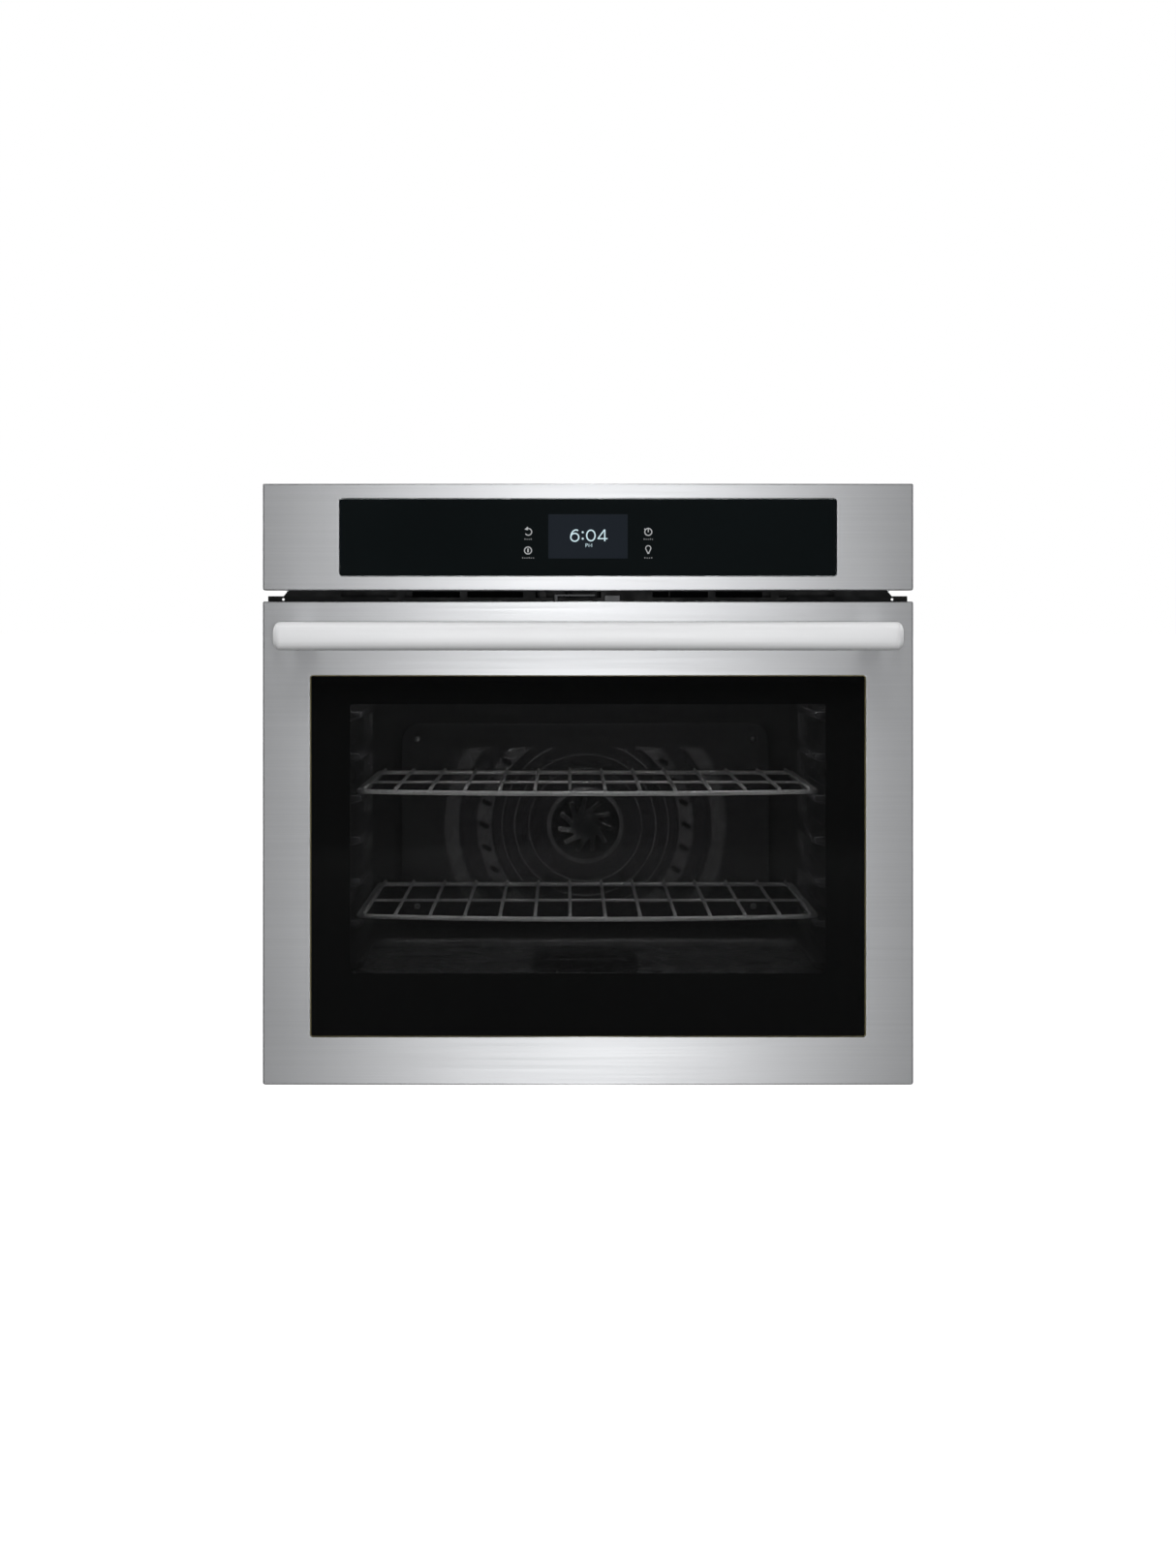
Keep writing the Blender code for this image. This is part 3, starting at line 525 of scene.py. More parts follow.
def rope():
    """Braided glass-fibre rope of the door seal."""
    s = Shade("seal_braid", (0.15, 0.15, 0.152), 0.85, 0.0, Sheen_Weight=0.3, Sheen_Roughness=0.5)
    a = s.wave(330.0, s.mapped((1, 1, 1), (0, math.radians(45), 0)), direction="X", distortion=1.0)
    b = s.wave(330.0, s.mapped((1, 1, 1), (0, math.radians(-45), 0)), direction="X", distortion=1.0)
    weave = s.math("MAXIMUM", a, b)
    s.colour(s.ramp(weave, [(0.2, (0.05, 0.05, 0.052)), (0.9, (0.22, 0.22, 0.225))]))
    s.bump(weave, 0.7, 0.0008)
    return s.m


def circuit():
    s = Shade("circuit_board", (0.04, 0.20, 0.09), 0.45)
    tracks = s.t.nodes.new("ShaderNodeTexBrick")
    s.link(s.mapped((90, 90, 90)), tracks.inputs["Vector"])
    tracks.inputs["Color1"].default_value = (0.03, 0.16, 0.07, 1)
    tracks.inputs["Color2"].default_value = (0.05, 0.24, 0.10, 1)
    tracks.inputs["Mortar"].default_value = (0.42, 0.36, 0.16, 1)
    tracks.inputs["Mortar Size"].default_value = 0.06
    s.colour(tracks.outputs["Color"])
    s.bump(tracks.outputs["Fac"], 0.3, 0.0003)
    return s.m


# The handle's near-white colour is painted sheen, standing in for the bright light it reflects.
HANDLE = handle_painted_sheen()
CHROME = chrome_wire()
GLASS = black_glass("control_glass_black")
FRIT = frit()
ROPE = rope()
BOARD = circuit()


def screen():
    """The display's grey-blue ground, a little lighter towards its lower right, over a fine pixel grid."""
    s = Shade("display_ground", (0.010, 0.012, 0.015), 0.08, 0.0, Specular_IOR_Level=0.05, Emission_Strength=1.0)
    grade = s.noise(7.0, s.mapped((1, 1, 1)), 1.0)
    grid = s.math("MULTIPLY", s.wave(2200.0, None, direction="X"), s.wave(2200.0, None, direction="Z"))
    tone = s.mix(grade, (0.0066, 0.0088, 0.0120), (0.0098, 0.0124, 0.0162))
    s.link(s.mix(s.math("MULTIPLY", grid, 0.25), tone, (0.016, 0.019, 0.024)), s.bsdf.inputs["Emission Color"])
    return s.m


SCREEN = screen()
DIGITS = lit("display_digits", (0.62, 0.80, 0.86), 1.0)
# The printed icons and caption bars glow: their emission is painted light, so they stay lit whatever lamps reach them.
ICONS = lit("icon_print_painted_glow", (0.42, 0.43, 0.44), 1.0)
LABEL = lit("icon_caption_bars_painted_glow", (0.20, 0.205, 0.21), 1.0)

BY_SLOT = {
    "stainless": STEEL, "galvanised": GALV, "porcelain": ENAMEL, "black_glass": GLASS, "window_glass": WINDOW,
    "clear_glass": INNER, "black_plastic": PLASTIC, "dark_steel": DARK, "chrome_wire": CHROME, "element": ELEMENT,
    "insulation": INSULATION, "gasket": ROPE, "steel": PLAIN, "aluminium": ALU, "board": BOARD, "fan_steel": FAN,
    "display": SCREEN, "bulb": BULB,
}
for row in frame["record"]["subparts"]:
    node = NODES[row["node"]]
    node.data.materials.clear()
    node.data.materials.append(BY_SLOT[row["material_slot"]])
NODES["lamp_lens"].data.materials[0] = LENS
NODES["latch_motor"].data.materials[0] = DARK

# ------------------------------------------------------------------ control panel
FACE = 381.0


def front_sheet(name, rect, radii, hole, hole_r, depth, fold, body, replaces, lip=12.0):
    """A folded sheet-metal front: rounded fold all round, a window with a softened edge, and returned sides."""
    n = 6
    t = 1.2
    steps = 5
    loops = [at_d(rr_in(rect, radii, lip, n), depth), at_d(rr_in(rect, radii, 1.0, n), depth),
             at_d(rr_in(rect, radii, 0.3, n), depth - 0.3), at_d(rr_in(rect, radii, 0, n), depth - 1.0)]
    for k in range(steps + 1):
        a = math.pi / 2 * k / steps
        loops.append(at_d(rr_in(rect, radii, fold * (1 - math.cos(a)), n), fold * (1 - math.sin(a))))
    e = 0.8
    loops += [at_d(rr_in(rect, radii, fold + 0.3, n), 0), at_d(rr_in(rect, radii, fold + 1.2, n), 0),
              at_d(rr_in(hole, hole_r, -e - 1.2, n), 0), at_d(rr_in(hole, hole_r, -e - 0.3, n), 0)]
    for k in range(5):
        a = math.pi / 2 * k / 4
        loops.append(at_d(rr_in(hole, hole_r, -e * (1 - math.sin(a)), n), e * (1 - math.cos(a))))
    loops += [at_d(rr_in(hole, hole_r, 0, n), 1.15), at_d(rr_in(hole, hole_r, 0, n), 3.2), at_d(rr_in(hole, hole_r, -1.0, n), 3.2),
              at_d(rr_in(hole, hole_r, -1.0, n), t + 0.2),
              at_d(rr_in(rect, radii, t + 0.4, n), t + 0.2), at_d(rr_in(rect, radii, t, n), t + 1.0),
              at_d(rr_in(rect, radii, t, n), depth - t), at_d(rr_in(rect, radii, lip, n), depth - t)]
    return loft(name, loops, STEEL, body, "stainless", replaces, wrap=True, angle=50)


FASCIA_HOLE = (-291.3, 291.3, 601.6, 692.7)
front_sheet("fascia_sheet", (-FACE, FACE, 585.0, 710.0), (2.9, 1.3, 1.3, 2.9), FASCIA_HOLE, 3.0, 24.0, 1.4, "chassis",
            ["control_fascia"])


def plate(name, rect, radius, d0, d1, bevel, material, body, slot, replaces=()):
    n = 6
    return loft(name, [at_d(rr_in(rect, radius, bevel + 1.0, n), d0), at_d(rr_in(rect, radius, bevel + 0.2, n), d0),
                       at_d(rr_in(rect, radius, bevel, n), d0), at_d(rr_in(rect, radius, bevel * 0.3, n), d0 + bevel * 0.3),
                       at_d(rr_in(rect, radius, 0, n), d0 + bevel), at_d(rr_in(rect, radius, 0, n), d1 - 0.3),
                       at_d(rr_in(rect, radius, 0.3, n), d1)], material, body, slot, replaces)


plate("control_pane", (-290.7, 290.7, 602.2, 692.1), 2.6, 0.45, 4.3, 0.5, GLASS, "chassis", "black_glass", ["control_glass"])
plate("display_window", (-46.5, 46.5, 622.4, 674.2), 0.8, 0.36, 0.6, 0.05, SCREEN, "chassis", "display")

F0, F1 = 0.26, 0.50  # front and back of what is lit or printed on the glass
digit_paths = [
    (arc(-15.5, 647.3, 4.7, 4.65, 0, 360, 40)[:-1], 1.5, True),
    (bezier((-11.6, 655.0), (-14.2, 657.4), (-20.0, 654.9), (-20.15, 647.4), 18), 1.5, False),
    (arc(3.35, 649.4, 4.9, 6.2, 0, 360, 44)[:-1], 1.5, True),
    ([(19.6, 655.9), (18.9, 655.7), (11.9, 646.0), (11.9, 645.6)], 1.4, False),
    ([(11.2, 645.7), (22.8, 645.7)], 1.35, False),
    ([(19.6, 656.4), (19.6, 642.7)], 1.5, False),
]
parts = [ribbon_data(path, width, F0, F1, closed) for path, width, closed in digit_paths]
for z in (653.2, 645.7):
    parts.append(loft_data([at_d(circle(-6.2, z, 1.2, 16), F0), at_d(circle(-6.2, z, 1.2, 16), F1)]))
put("display_time", *joined(parts), DIGITS, "chassis", "display", smooth=False)
small = [
    ([(-2.6, 635.9), (-2.6, 639.8), (-1.1, 639.8), (-0.4, 639.3), (-0.4, 638.4), (-1.1, 637.9), (-2.5, 637.9)], 0.6, False),
    ([(1.0, 635.9), (1.0, 639.8), (2.7, 637.2), (4.4, 639.8), (4.4, 635.9)], 0.6, False),
]
put("display_half_day", *joined([ribbon_data(p, w, F0, F1, c) for p, w, c in small]), DIGITS, "chassis", "display", smooth=False)

icons = [
    # return arrow
    (arc(-69.9, 653.6, 3.9, 3.9, -150, 100, 30), 1.15, False),
    # on and off
    (arc(-70.3, 631.8, 4.1, 4.1, 0, 360, 36)[:-1], 1.15, True),
    ([(-70.3, 629.6), (-70.3, 634.0)], 1.7, False),
    # timer
    (arc(70.6, 653.6, 4.1, 4.1, 0, 360, 36)[:-1], 1.15, True),
    ([(70.6, 653.2), (70.6, 658.4)], 1.1, False),
    ([(66.0, 657.3), (67.9, 655.7)], 1.1, False),
    # lamp
    (arc(70.6, 634.4, 3.0, 3.0, -36, 216, 26), 1.05, False),
    ([(73.0, 632.7), (71.7, 629.7), (69.5, 629.7), (68.2, 632.7)], 1.05, False),
    ([(69.4, 628.5), (71.8, 628.5)], 1.2, False),
]
icon_parts = [ribbon_data(p, w, F0, F1, c) for p, w, c in icons]
head = [(-70.3, 655.4), (-70.3, 660.0), (-74.4, 656.6)]
icon_parts.append(loft_data([at_d(head, F0), at_d(head, F1)]))
put("touch_icons", *joined(icon_parts), ICONS, "chassis", "black_glass", smooth=False)
bars = []
for x, z, wide in ((-70.2, 645.2, 9.6), (-70.2, 623.3, 15.0), (70.6, 645.2, 12.0), (70.6, 623.3, 10.5)):
    count = int(wide / 2.3)
    for k in range(count):
        cx = x - wide / 2 + wide * (k + 0.5) / count
        tall = 1.25 if k % 3 else 1.7
        tick = rr(cx - 0.62, cx + 0.62, z - 0.9, z - 0.9 + tall, 0.35, 2)
        bars.append(loft_data([at_d(tick, F0), at_d(tick, F1)]))
put("touch_icon_bars", *joined(bars), LABEL, "chassis", "black_glass", smooth=False)

# ------------------------------------------------------------------ door
DOOR_RECT = (-FACE, FACE, 6.0, 572.0)
DOOR_HOLE = (-325.4, 325.4, 61.8, 485.4)
front_sheet("door_sheet", DOOR_RECT, (3.0, 1.8, 1.8, 3.0), DOOR_HOLE, 3.0, 30.0, 1.4, "door", ["door_skin"], lip=1.3)
GLASS_RECT = (-324.7, 324.7, 62.5, 484.7)
plate("door_pane", GLASS_RECT, 2.5, 0.45, 3.7, 0.5, WINDOW, "door", "window_glass", ["door_outer_glass"])
WINDOW_RECT = (-279.0, 278.6, 136.0, 451.7)
n = 6
loft("door_pane_print", [at_d(rr_in(GLASS_RECT, 2.2, 0.4, n), 3.75), at_d(rr(*WINDOW_RECT, 3.0, n), 3.75),
                         at_d(rr(*WINDOW_RECT, 3.0, n), 4.35), at_d(rr_in(GLASS_RECT, 2.2, 0.4, n), 4.35)],
     FRIT, "door", "black_glass", wrap=True)
INNER_RECT = (-296.0, 296.0, 118.0, 470.0)
plate("middle_pane", INNER_RECT, 3.0, 23.0, 26.0, 0.5, INNER, "door", "clear_glass", ["door_middle_glass"])
plate("inner_pane", INNER_RECT, 3.0, 38.6, 42.4, 0.6, INNER, "door", "clear_glass", ["door_inner_glass"])


def liner():
    """The enamelled back of the door: a raised frame round the window, a stepped edge and two hinge slots."""
    rect, r = (-374.0, 374.0, 12.0, 567.0), (6.0, 6.0, 6.0, 6.0)
    hole = (-283.0, 283.0, 131.0, 457.0)
    n = 8
    loops = [at_d(rr_in(rect, r, 1.2, n), 30.8), at_d(rr_in(rect, r, 0, n), 30.8)]
    for k in range(5):
        a = math.pi / 2 * k / 4
        loops.append(at_d(rr_in(rect, r, 3.0 * (1 - math.cos(a)), n), 41.0 + 3.0 * math.sin(a)))
    loops += [at_d(rr_in(rect, r, 24.0, n), 44.0)]
    band = (-330.0, 330.0, 75.0, 556.0)
    loops += [at_d(rr_in(band, 30.0, 0, n), 44.0), at_d(rr_in(band, 30.0, 1.5, n), 43.7), at_d(rr_in(band, 30.0, 3.5, n), 43.2),
              at_d(rr_in(hole, 10.0, -26.0, n), 43.2), at_d(rr_in(hole, 10.0, -24.0, n), 43.6), at_d(rr_in(hole, 10.0, -21.0, n), 44.0),
              at_d(rr_in(hole, 9.0, -3.0, n), 44.0), at_d(rr_in(hole, 8.5, -1.0, n), 43.8), at_d(rr_in(hole, 8.0, 0, n), 43.0),
              at_d(rr_in(hole, 8.0, 0, n), 42.6), at_d(rr_in(rect, r, 1.2, n), 42.6)]
    obj = loft("liner_sheet", loops, ENAMEL_DOOR, "door", "porcelain", ["door_liner"], wrap=True, angle=40)
    return obj


def cut_out(obj, *parts):
    """Takes shapes out of a piece for good."""
    verts, faces = joined(parts)
    mesh = bpy.data.meshes.new("cutter")
    mesh.from_pydata([P(*v) for v in verts], [], faces)
    bm = bmesh.new()
    bm.from_mesh(mesh)
    bmesh.ops.recalc_face_normals(bm, faces=bm.faces[:])
    bm.to_mesh(mesh)
    bm.free()
    helper = bpy.data.objects.new("cutter", mesh)
    LINKED.link(helper)
    helper.hide_render = True
    modifier = obj.modifiers.new("cut", "BOOLEAN")
    modifier.operation = "DIFFERENCE"
    modifier.solver = "EXACT"
    modifier.use_self = False
    modifier.object = helper
    graph = bpy.context.evaluated_depsgraph_get()
    made = bpy.data.meshes.new_from_object(obj.evaluated_get(graph))
    obj.modifiers.clear()
    old = obj.data
    obj.data = made
    made.name = obj.name
    bpy.data.meshes.remove(old)
    bpy.data.objects.remove(helper, do_unlink=True)
    bpy.data.meshes.remove(mesh)
    return obj


HINGE_X = 343.0
door_back = liner()
cut_out(door_back, *[box_data(s * HINGE_X - 6, s * HINGE_X + 6, 8, 60, -5, 42) for s in (-1, 1)])
cut_out(bpy.data.objects["door_sheet"], *[box_data(s * HINGE_X - 6, s * HINGE_X + 6, 11, 60, -5, 42) for s in (-1, 1)])

# trim over the door: two raised pads, the latch notch, and the grey block that works the switch
trim_parts = [box_data(-374, -46, 30.4, 44, 567.4, 572, 0.5), box_data(6, 374, 30.4, 44, 567.4, 572, 0.5),
              box_data(-46.5, 6.5, 30.4, 31.3, 567.6, 571.8), box_data(-29, 6.5, 41.5, 43.9, 567.6, 571.8)]
for s in (-1, 1):
    for a, b in (((233, 571.4), (356, 577.6)),):
        pts = [(s * 233, 571.4), (s * 237.5, 577.0), (s * 238.5, 577.6), (s * 355, 577.6), (s * 356, 577.0), (s * 356, 571.4)]
        trim_parts.append(loft_data([at_d(pts, 33), at_d(pts, 41)]))
put("door_trim", *joined(trim_parts), PLASTIC, "door", "black_plastic", ["door_top_trim"])
put("door_striker", *box_data(20, 38, 36, 40, 571.6, 579.4, 0.5), GREY_PLASTIC, "door", "black_plastic")

# ------------------------------------------------------------------ handle
HZ = 532.0


def handle():
    half, end = 364.0, 9.0
    m = 28
    loops = []
    steps = [0.02, 0.25, 0.6, 1.1, 1.8, 2.7, 3.8, 5.2, 7.0, 9.0]
    offsets = [(-half + t, t) for t in steps] + [(-180, end), (0, end), (180, end)] + [(half - t, t) for t in reversed(steps)]
    for x, t in offsets:
        u = min(t / end, 1.0)
        f = (1 - (1 - u) ** 2.3) ** (1 / 2.3)
        g = (1 - (1 - u) ** 2.0) ** 0.5
        h = 16.5 * (0.12 + 0.88 * f)
        front = -52.0 - 10.0 * g
        back = -42.0 - 3.0 * (1 - f)
        section = []
        for k in range(m):
            a = 2 * math.pi * k / m
            ca, sa = math.cos(a), math.sin(a)
            zz = h * math.copysign(abs(sa) ** 0.62, sa)
            if ca < 0:
                dd = -52.0 + (front + 52.0) * abs(ca) ** 0.9
            else:
                dd = -52.0 + (back + 52.0) * abs(ca) ** 0.5
            section.append((x, dd, HZ + zz))
        loops.append(section)
    return loft("handle_grip", loops, HANDLE, "door", "stainless", ["handle_bar"], angle=60)


handle()
for side, s in (("left", -1), ("right", 1)):
    rect = (s * 332 - 15, s * 332 + 15, 521.0, 543.0)
    loops = []
    for d, grow in ((-0.35, 1.6), (-1.4, 0.6), (-4.0, 0.0), (-30.0, 0.0), (-39.0, 0.8), (-43.5, 2.4)):
        loops.append(at_d(rr_in(rect, 8.0, -grow + 1.6, 5), d))
    loft(side + "_handle_post", loops, HANDLE, "door", "stainless", [side + "_handle_mount"])

# ------------------------------------------------------------------ front seal
seal = []
for k in range(14):
    a = 2 * math.pi * k / 14
    t = 6.0 + 5.9 * math.cos(a)
    d = 48.0 + 3.6 * math.sin(a)
    seal.append(at_d(rr_in((-316, 316, 89, 561), 32, t, 8), d))
loft("seal_rope", seal, ROPE, "chassis", "gasket", ["door_gasket"], wrap=True, angle=80)

# ------------------------------------------------------------------ oven cavity
RIB_TOPS = [140.7 + 50.0 * k for k in range(7)]


def cavity():
    """The enamelled liner: ribbed side walls whose ribs fade out at both ends, and rounded corners all round the back."""
    right = [(282.0, 105.0, 282.0), (290.0, 106.6, 290.0), (296.5, 111.0, 296.5), (299.5, 117.5, 299.5)]
    right.append((297.5, 124.0, 300.0))
    for top in RIB_TOPS:
        right += [(297.0, top - 17.5, 300.0), (295.0, top - 15.6, 300.0), (273.2, top - 9.0, 300.0), (270.8, top - 7.6, 300.0),
                  (270.0, top - 5.6, 300.0), (270.0, top - 2.4, 300.0), (270.7, top - 0.7, 300.0), (272.4, top, 300.0),
                  (293.5, top, 300.0), (296.0, top + 0.6, 300.0), (297.0, top + 2.6, 300.0)]
    right += [(297.0, 466.0, 300.0), (298.4, 476.0, 300.0), (300.0, 486.0, 300.0), (299.7, 530.0, 299.7), (296.5, 538.0, 296.5),
              (290.0, 543.0, 290.0), (282.0, 545.0, 282.0)]
    points = right + [(-a, z, -b) for a, z, b in reversed(right)]

    def section(d, ramp, tuck):
        out = []
        for ribbed, z, flat in points:
            x = flat + (ribbed - flat) * ramp
            out.append((x * (300.0 - tuck) / 300.0, d, 325.0 + (z - 325.0) * (220.0 - tuck) / 220.0))
        return out

    def ease(t):
        t = min(max(t, 0.0), 1.0)
        return t * t * (3 - 2 * t)

    loops = [section(54.2, 0.0, -1.4)]
    for d in (54.2, 58, 64, 68, 72, 76, 80, 84, 200, 360, 508, 512, 516, 520, 524, 528):
        loops.append(section(d, ease((d - 64) / 20) * ease((528 - d) / 18), 0.0))
    for k in range(1, 8):
        a = math.pi / 2 * k / 7
        loops.append(section(529 + 16 * math.sin(a), 0.0, 16 * (1 - math.cos(a))))
    loops.append(section(546.2, 0.0, 17.0))
    loops.append(section(546.2, 0.0, -1.2))
    verts, faces = loft_data(loops, wrap=True)
    m, size = len(points), len(loops)
    del faces[(size - 3) * m:(size - 2) * m]
    faces += [tuple(range((size - 3) * m, (size - 2) * m)), tuple(range((size - 2) * m, (size - 1) * m))]
    return put("cavity_liner", verts, faces, ENAMEL, "chassis", "porcelain", ["oven_cavity"], angle=50)


liner_box = cavity()
cut_out(
    liner_box,
    loft_data([at_d(circle(0, 272.5, 6, 16), 540), at_d(circle(0, 272.5, 6, 16), 552)]),
    loft_data([at_d(circle(200, 486, 26, 32), 540), at_d(circle(200, 486, 26, 32), 552)]),
    *[loft_data([at_d(circle(x, 524, 5, 16), 530), at_d(circle(x, 524, 5, 16), 552)]) for x in (-25, 25)],
)


def floor_pressing():
    """The raised panel in the cavity floor, wider towards the back, crossed by a shallow groove."""
    def outline(t, z):
        front, back = 268.0 + t, 538.0 - t
        half0, half1, r = 66.0 - t, 71.5 - t, 20.0
        pts = []
        corners = [(-half0, front), (half0, front), (half1, back), (-half1, back)]
        closed = fillet([(x, d, 0.0) for x, d in corners], r, 7, closed=True)
        for x, d, _ in closed:
            pts.append((x, d, z))
        return pts
    loops = [outline(0.0, 104.9), outline(0.8, 105.3), outline(2.6, 107.0), outline(4.2, 107.6), outline(9.0, 107.6)]
    rows = len(loops[0])
    verts, faces = loft_data(loops, caps=(True, False))
    groove = loft_data([at_z(rr(-52, 52, 380.5, 389.5, 4.4, 5), 107.3), at_z(rr(-51, 51, 381.5, 388.5, 3.4, 5), 108.3)])
    faces.append(tuple(range(4 * rows, 5 * rows)))
    return put("cavity_floor_pressing", *joined([(verts, faces), groove]), ENAMEL, "chassis", "porcelain")


floor_plate = floor_pressing()
# The raised floor panel gets the paler enamel, a painted highlight, and its groove the darker enamel, painted shade in
# the recess.
recolour(floor_plate, lambda x, d, z, normal: 2 if abs(d - 385) < 4.5 and abs(x) < 52 else 1, ENAMEL_PAINTED_SHADE, ENAMEL_PAINTED_HIGHLIGHT)


def liner_painted_highlight_faces(x, d, z, normal):
    """The floor, the floor fillet and the rounded back corners of the cavity get the paler enamel, a painted highlight
    standing in for light on the floor and reflections on the curved corners, so they read paler than its walls.
    """
    if z < 106.5 and normal.z > 0.5 and d > 250:
        return 1
    if d > 527 and abs(x) > 280 and normal.y < -0.15 and abs(normal.x) > 0.3:
        return 1
    if 106.0 < z < 118.0 and normal.z > 0.3:
        return 1
    return 0


# The floor and back corners of the liner get painted highlight: the paler enamel stands in for light falling on them.
recolour(liner_box, liner_painted_highlight_faces, ENAMEL_PAINTED_HIGHLIGHT)
put("cavity_floor_beads", *joined([
    loft_data([[(x, d + 2.6 * c, z) for d, c, z in ((d0, -1, 104.9), (d0, -0.5, 106.1), (d0, 0, 106.5), (d0, 0.5, 106.1), (d0, 1, 104.9))]
               for x in (-255, -252, 252, 255)]) for d0 in (96, 236)]), ENAMEL, "chassis", "porcelain")

# front frame round the mouth of the cavity, softly rounded
F_OUT, F_IN = (-356.0, 356.0, 58.0, 572.6), (-300.0, 300.0, 105.0, 545.0)
loops = [at_d(rr_in(F_OUT, 18, 0, 8), 53.3), at_d(rr_in(F_OUT, 18, 0, 8), 52.8), at_d(rr_in(F_OUT, 18, 0.8, 8), 52.0),
         at_d(rr_in(F_IN, 18, -10, 8), 52.0)]
for k in range(6):
    a = math.pi / 2 * k / 5
    loops.append(at_d(rr_in(F_IN, 18, -2.4 * (1 - math.sin(a)), 8), 52.0 + 2.0 * (1 - math.cos(a))))
loops.append(at_d(rr_in(F_IN, 18, -3.0, 8), 53.6))
loft("mouth_frame", loops, ENAMEL, "chassis", "porcelain", ["front_frame"], wrap=True, angle=40)
put("mouth_frame_top", *box_data(-330, 330, 54, 150, 571.4, 572.6, 0.3), ENAMEL, "chassis", "porcelain")

# ------------------------------------------------------------------ convection cover
FZ = 272.5


def pulse(value, centre, half, soft):
    """1 inside centre +- half, falling to 0 over soft on each side."""
    t = (half + soft - abs(value - centre)) / soft
    t = min(max(t, 0.0), 1.0)
    return t * t * (3 - 2 * t)


def cover_height(x, z):
    """How far the pressed cover stands in front of its base plane."""
    r = math.hypot(x, z - FZ)
    dz = abs(z - FZ)
    h = 2.2 * min(max((51.6 - r) / 9.0, 0.0), 1.0)
    h += 0.8 * pulse(r, 76.0, 0.5, 1.4) + 0.8 * pulse(r, 95.0, 0.5, 1.4)
    clip = min(max((104.0 - dz) / 3.0, 0.0), 1.0)
    if abs(x) > 20:
        h += clip * (0.7 * pulse(r, 112.0, 0.4, 1.4))
        h += clip * (3.2 * min(max((145.0 - r) / 19.0, 0.0), 1.0) - 3.2 * min(max((126.0 - r) / 4.0, 0.0), 1.0))
        h += clip * (3.4 * min(max((189.0 - r) / 19.0, 0.0), 1.0) - 3.4 * min(max((168.0 - r) / 5.0, 0.0), 1.0))
    return h


def painted_highlight_faces(x, d, z, normal):
    """Which faces of the pressed cover get the paler enamel: its slopes and beads, where the paler colour is a painted
    highlight.
    """
    r, dz = math.hypot(x, z - FZ), abs(z - FZ)
    if d > 519.5 or normal.y > -0.5:
        return 0
    if 42.0 < r < 51.6 or abs(r - 76.0) < 1.2 or abs(r - 95.0) < 1.2:
        return 1
    if r < 42.0:
        return 0
    if dz < 104.0 and abs(x) > 40 and (126.0 < r < 145.0 or 170.0 < r < 189.0 or abs(r - 112.0) < 1.0):
        return 1
    return 0


def cover():
    rect = (-248.0, 248.0, 141.5, 410.5)
    n_turn = 360
    radii = [45.8, 46.0, 46.5, 47.2, 48.2, 49.4, 50.4, 51.4, 52.4, 53.6, 55.5, 60, 66, 72] + [73.5 + 0.7 * k for k in range(9)]
    radii += [83, 88, 91] + [92.5 + 0.7 * k for k in range(9)] + [100, 104, 108, 110, 111, 112, 113, 114, 116, 120, 123, 124.5, 126, 128, 130]

    def rim(theta, inset):
        """Distance from the centre to the rounded outline, moved in by inset."""
        u0, u1, v0, v1 = rect[0] + inset, rect[1] - inset, rect[2] + inset, rect[3] - inset
        r = max(26.0 - inset, 1.0)
        cx, cz = 0.0, FZ
        c, s = math.cos(theta), math.sin(theta)
        lo, hi = 0.0, 400.0
        for _ in range(30):
            mid = (lo + hi) / 2
            x, z = cx + mid * c, cz + mid * s
            qx = max(abs(x - (u0 + u1) / 2) - ((u1 - u0) / 2 - r), 0.0)
            qz = max(abs(z - (v0 + v1) / 2) - ((v1 - v0) / 2 - r), 0.0)
            if math.hypot(qx, qz) < r:
                lo = mid
            else:
                hi = mid
        return lo

    thetas = [2 * math.pi * k / n_turn for k in range(n_turn)]
    rims = [rim(t, 3.0) for t in thetas]
    loops = []

    def ring_at(fn, lift=0.0):
        out = []
        for theta, edge in zip(thetas, rims):
            r = fn(edge)
            x, z = r * math.cos(theta), FZ + r * math.sin(theta)
            out.append((x, 518.0 - cover_height(x, z) + lift, z))
        return out

    front = [ring_at(lambda e, r=r: r) for r in radii]
    last = radii[-1]
    steps = 52
    for k in range(1, steps + 1):
        front.append(ring_at(lambda e, k=k: last + (e - last) * k / steps))
    fold = []
    for k in range(1, 5):
        a = math.pi / 2 * k / 4
        inset = 3.0 * (1 - math.sin(a))
        d = 518.0 + 3.0 * (1 - math.cos(a))
        fold.append([(rim(t, inset) * math.cos(t), d, FZ + rim(t, inset) * math.sin(t)) for t in thetas])
    outside = fold[-1]
    wall = [[(x, 544.4, z) for x, d, z in outside]]
    inner = [[(rim(t, 1.0) * math.cos(t), d, FZ + rim(t, 1.0) * math.sin(t)) for t in thetas] for d in (544.4, 519.5)]
    back = [[(r * math.cos(t), 519.3, FZ + r * math.sin(t)) for t in thetas] for r in (132.0, 90.0, 60.0, 46.6)]
    loops = front + fold + wall + inner + back
    return loft("convection_cover", loops, ENAMEL, "chassis", "porcelain", ["convection_baffle"], wrap=True, angle=55)


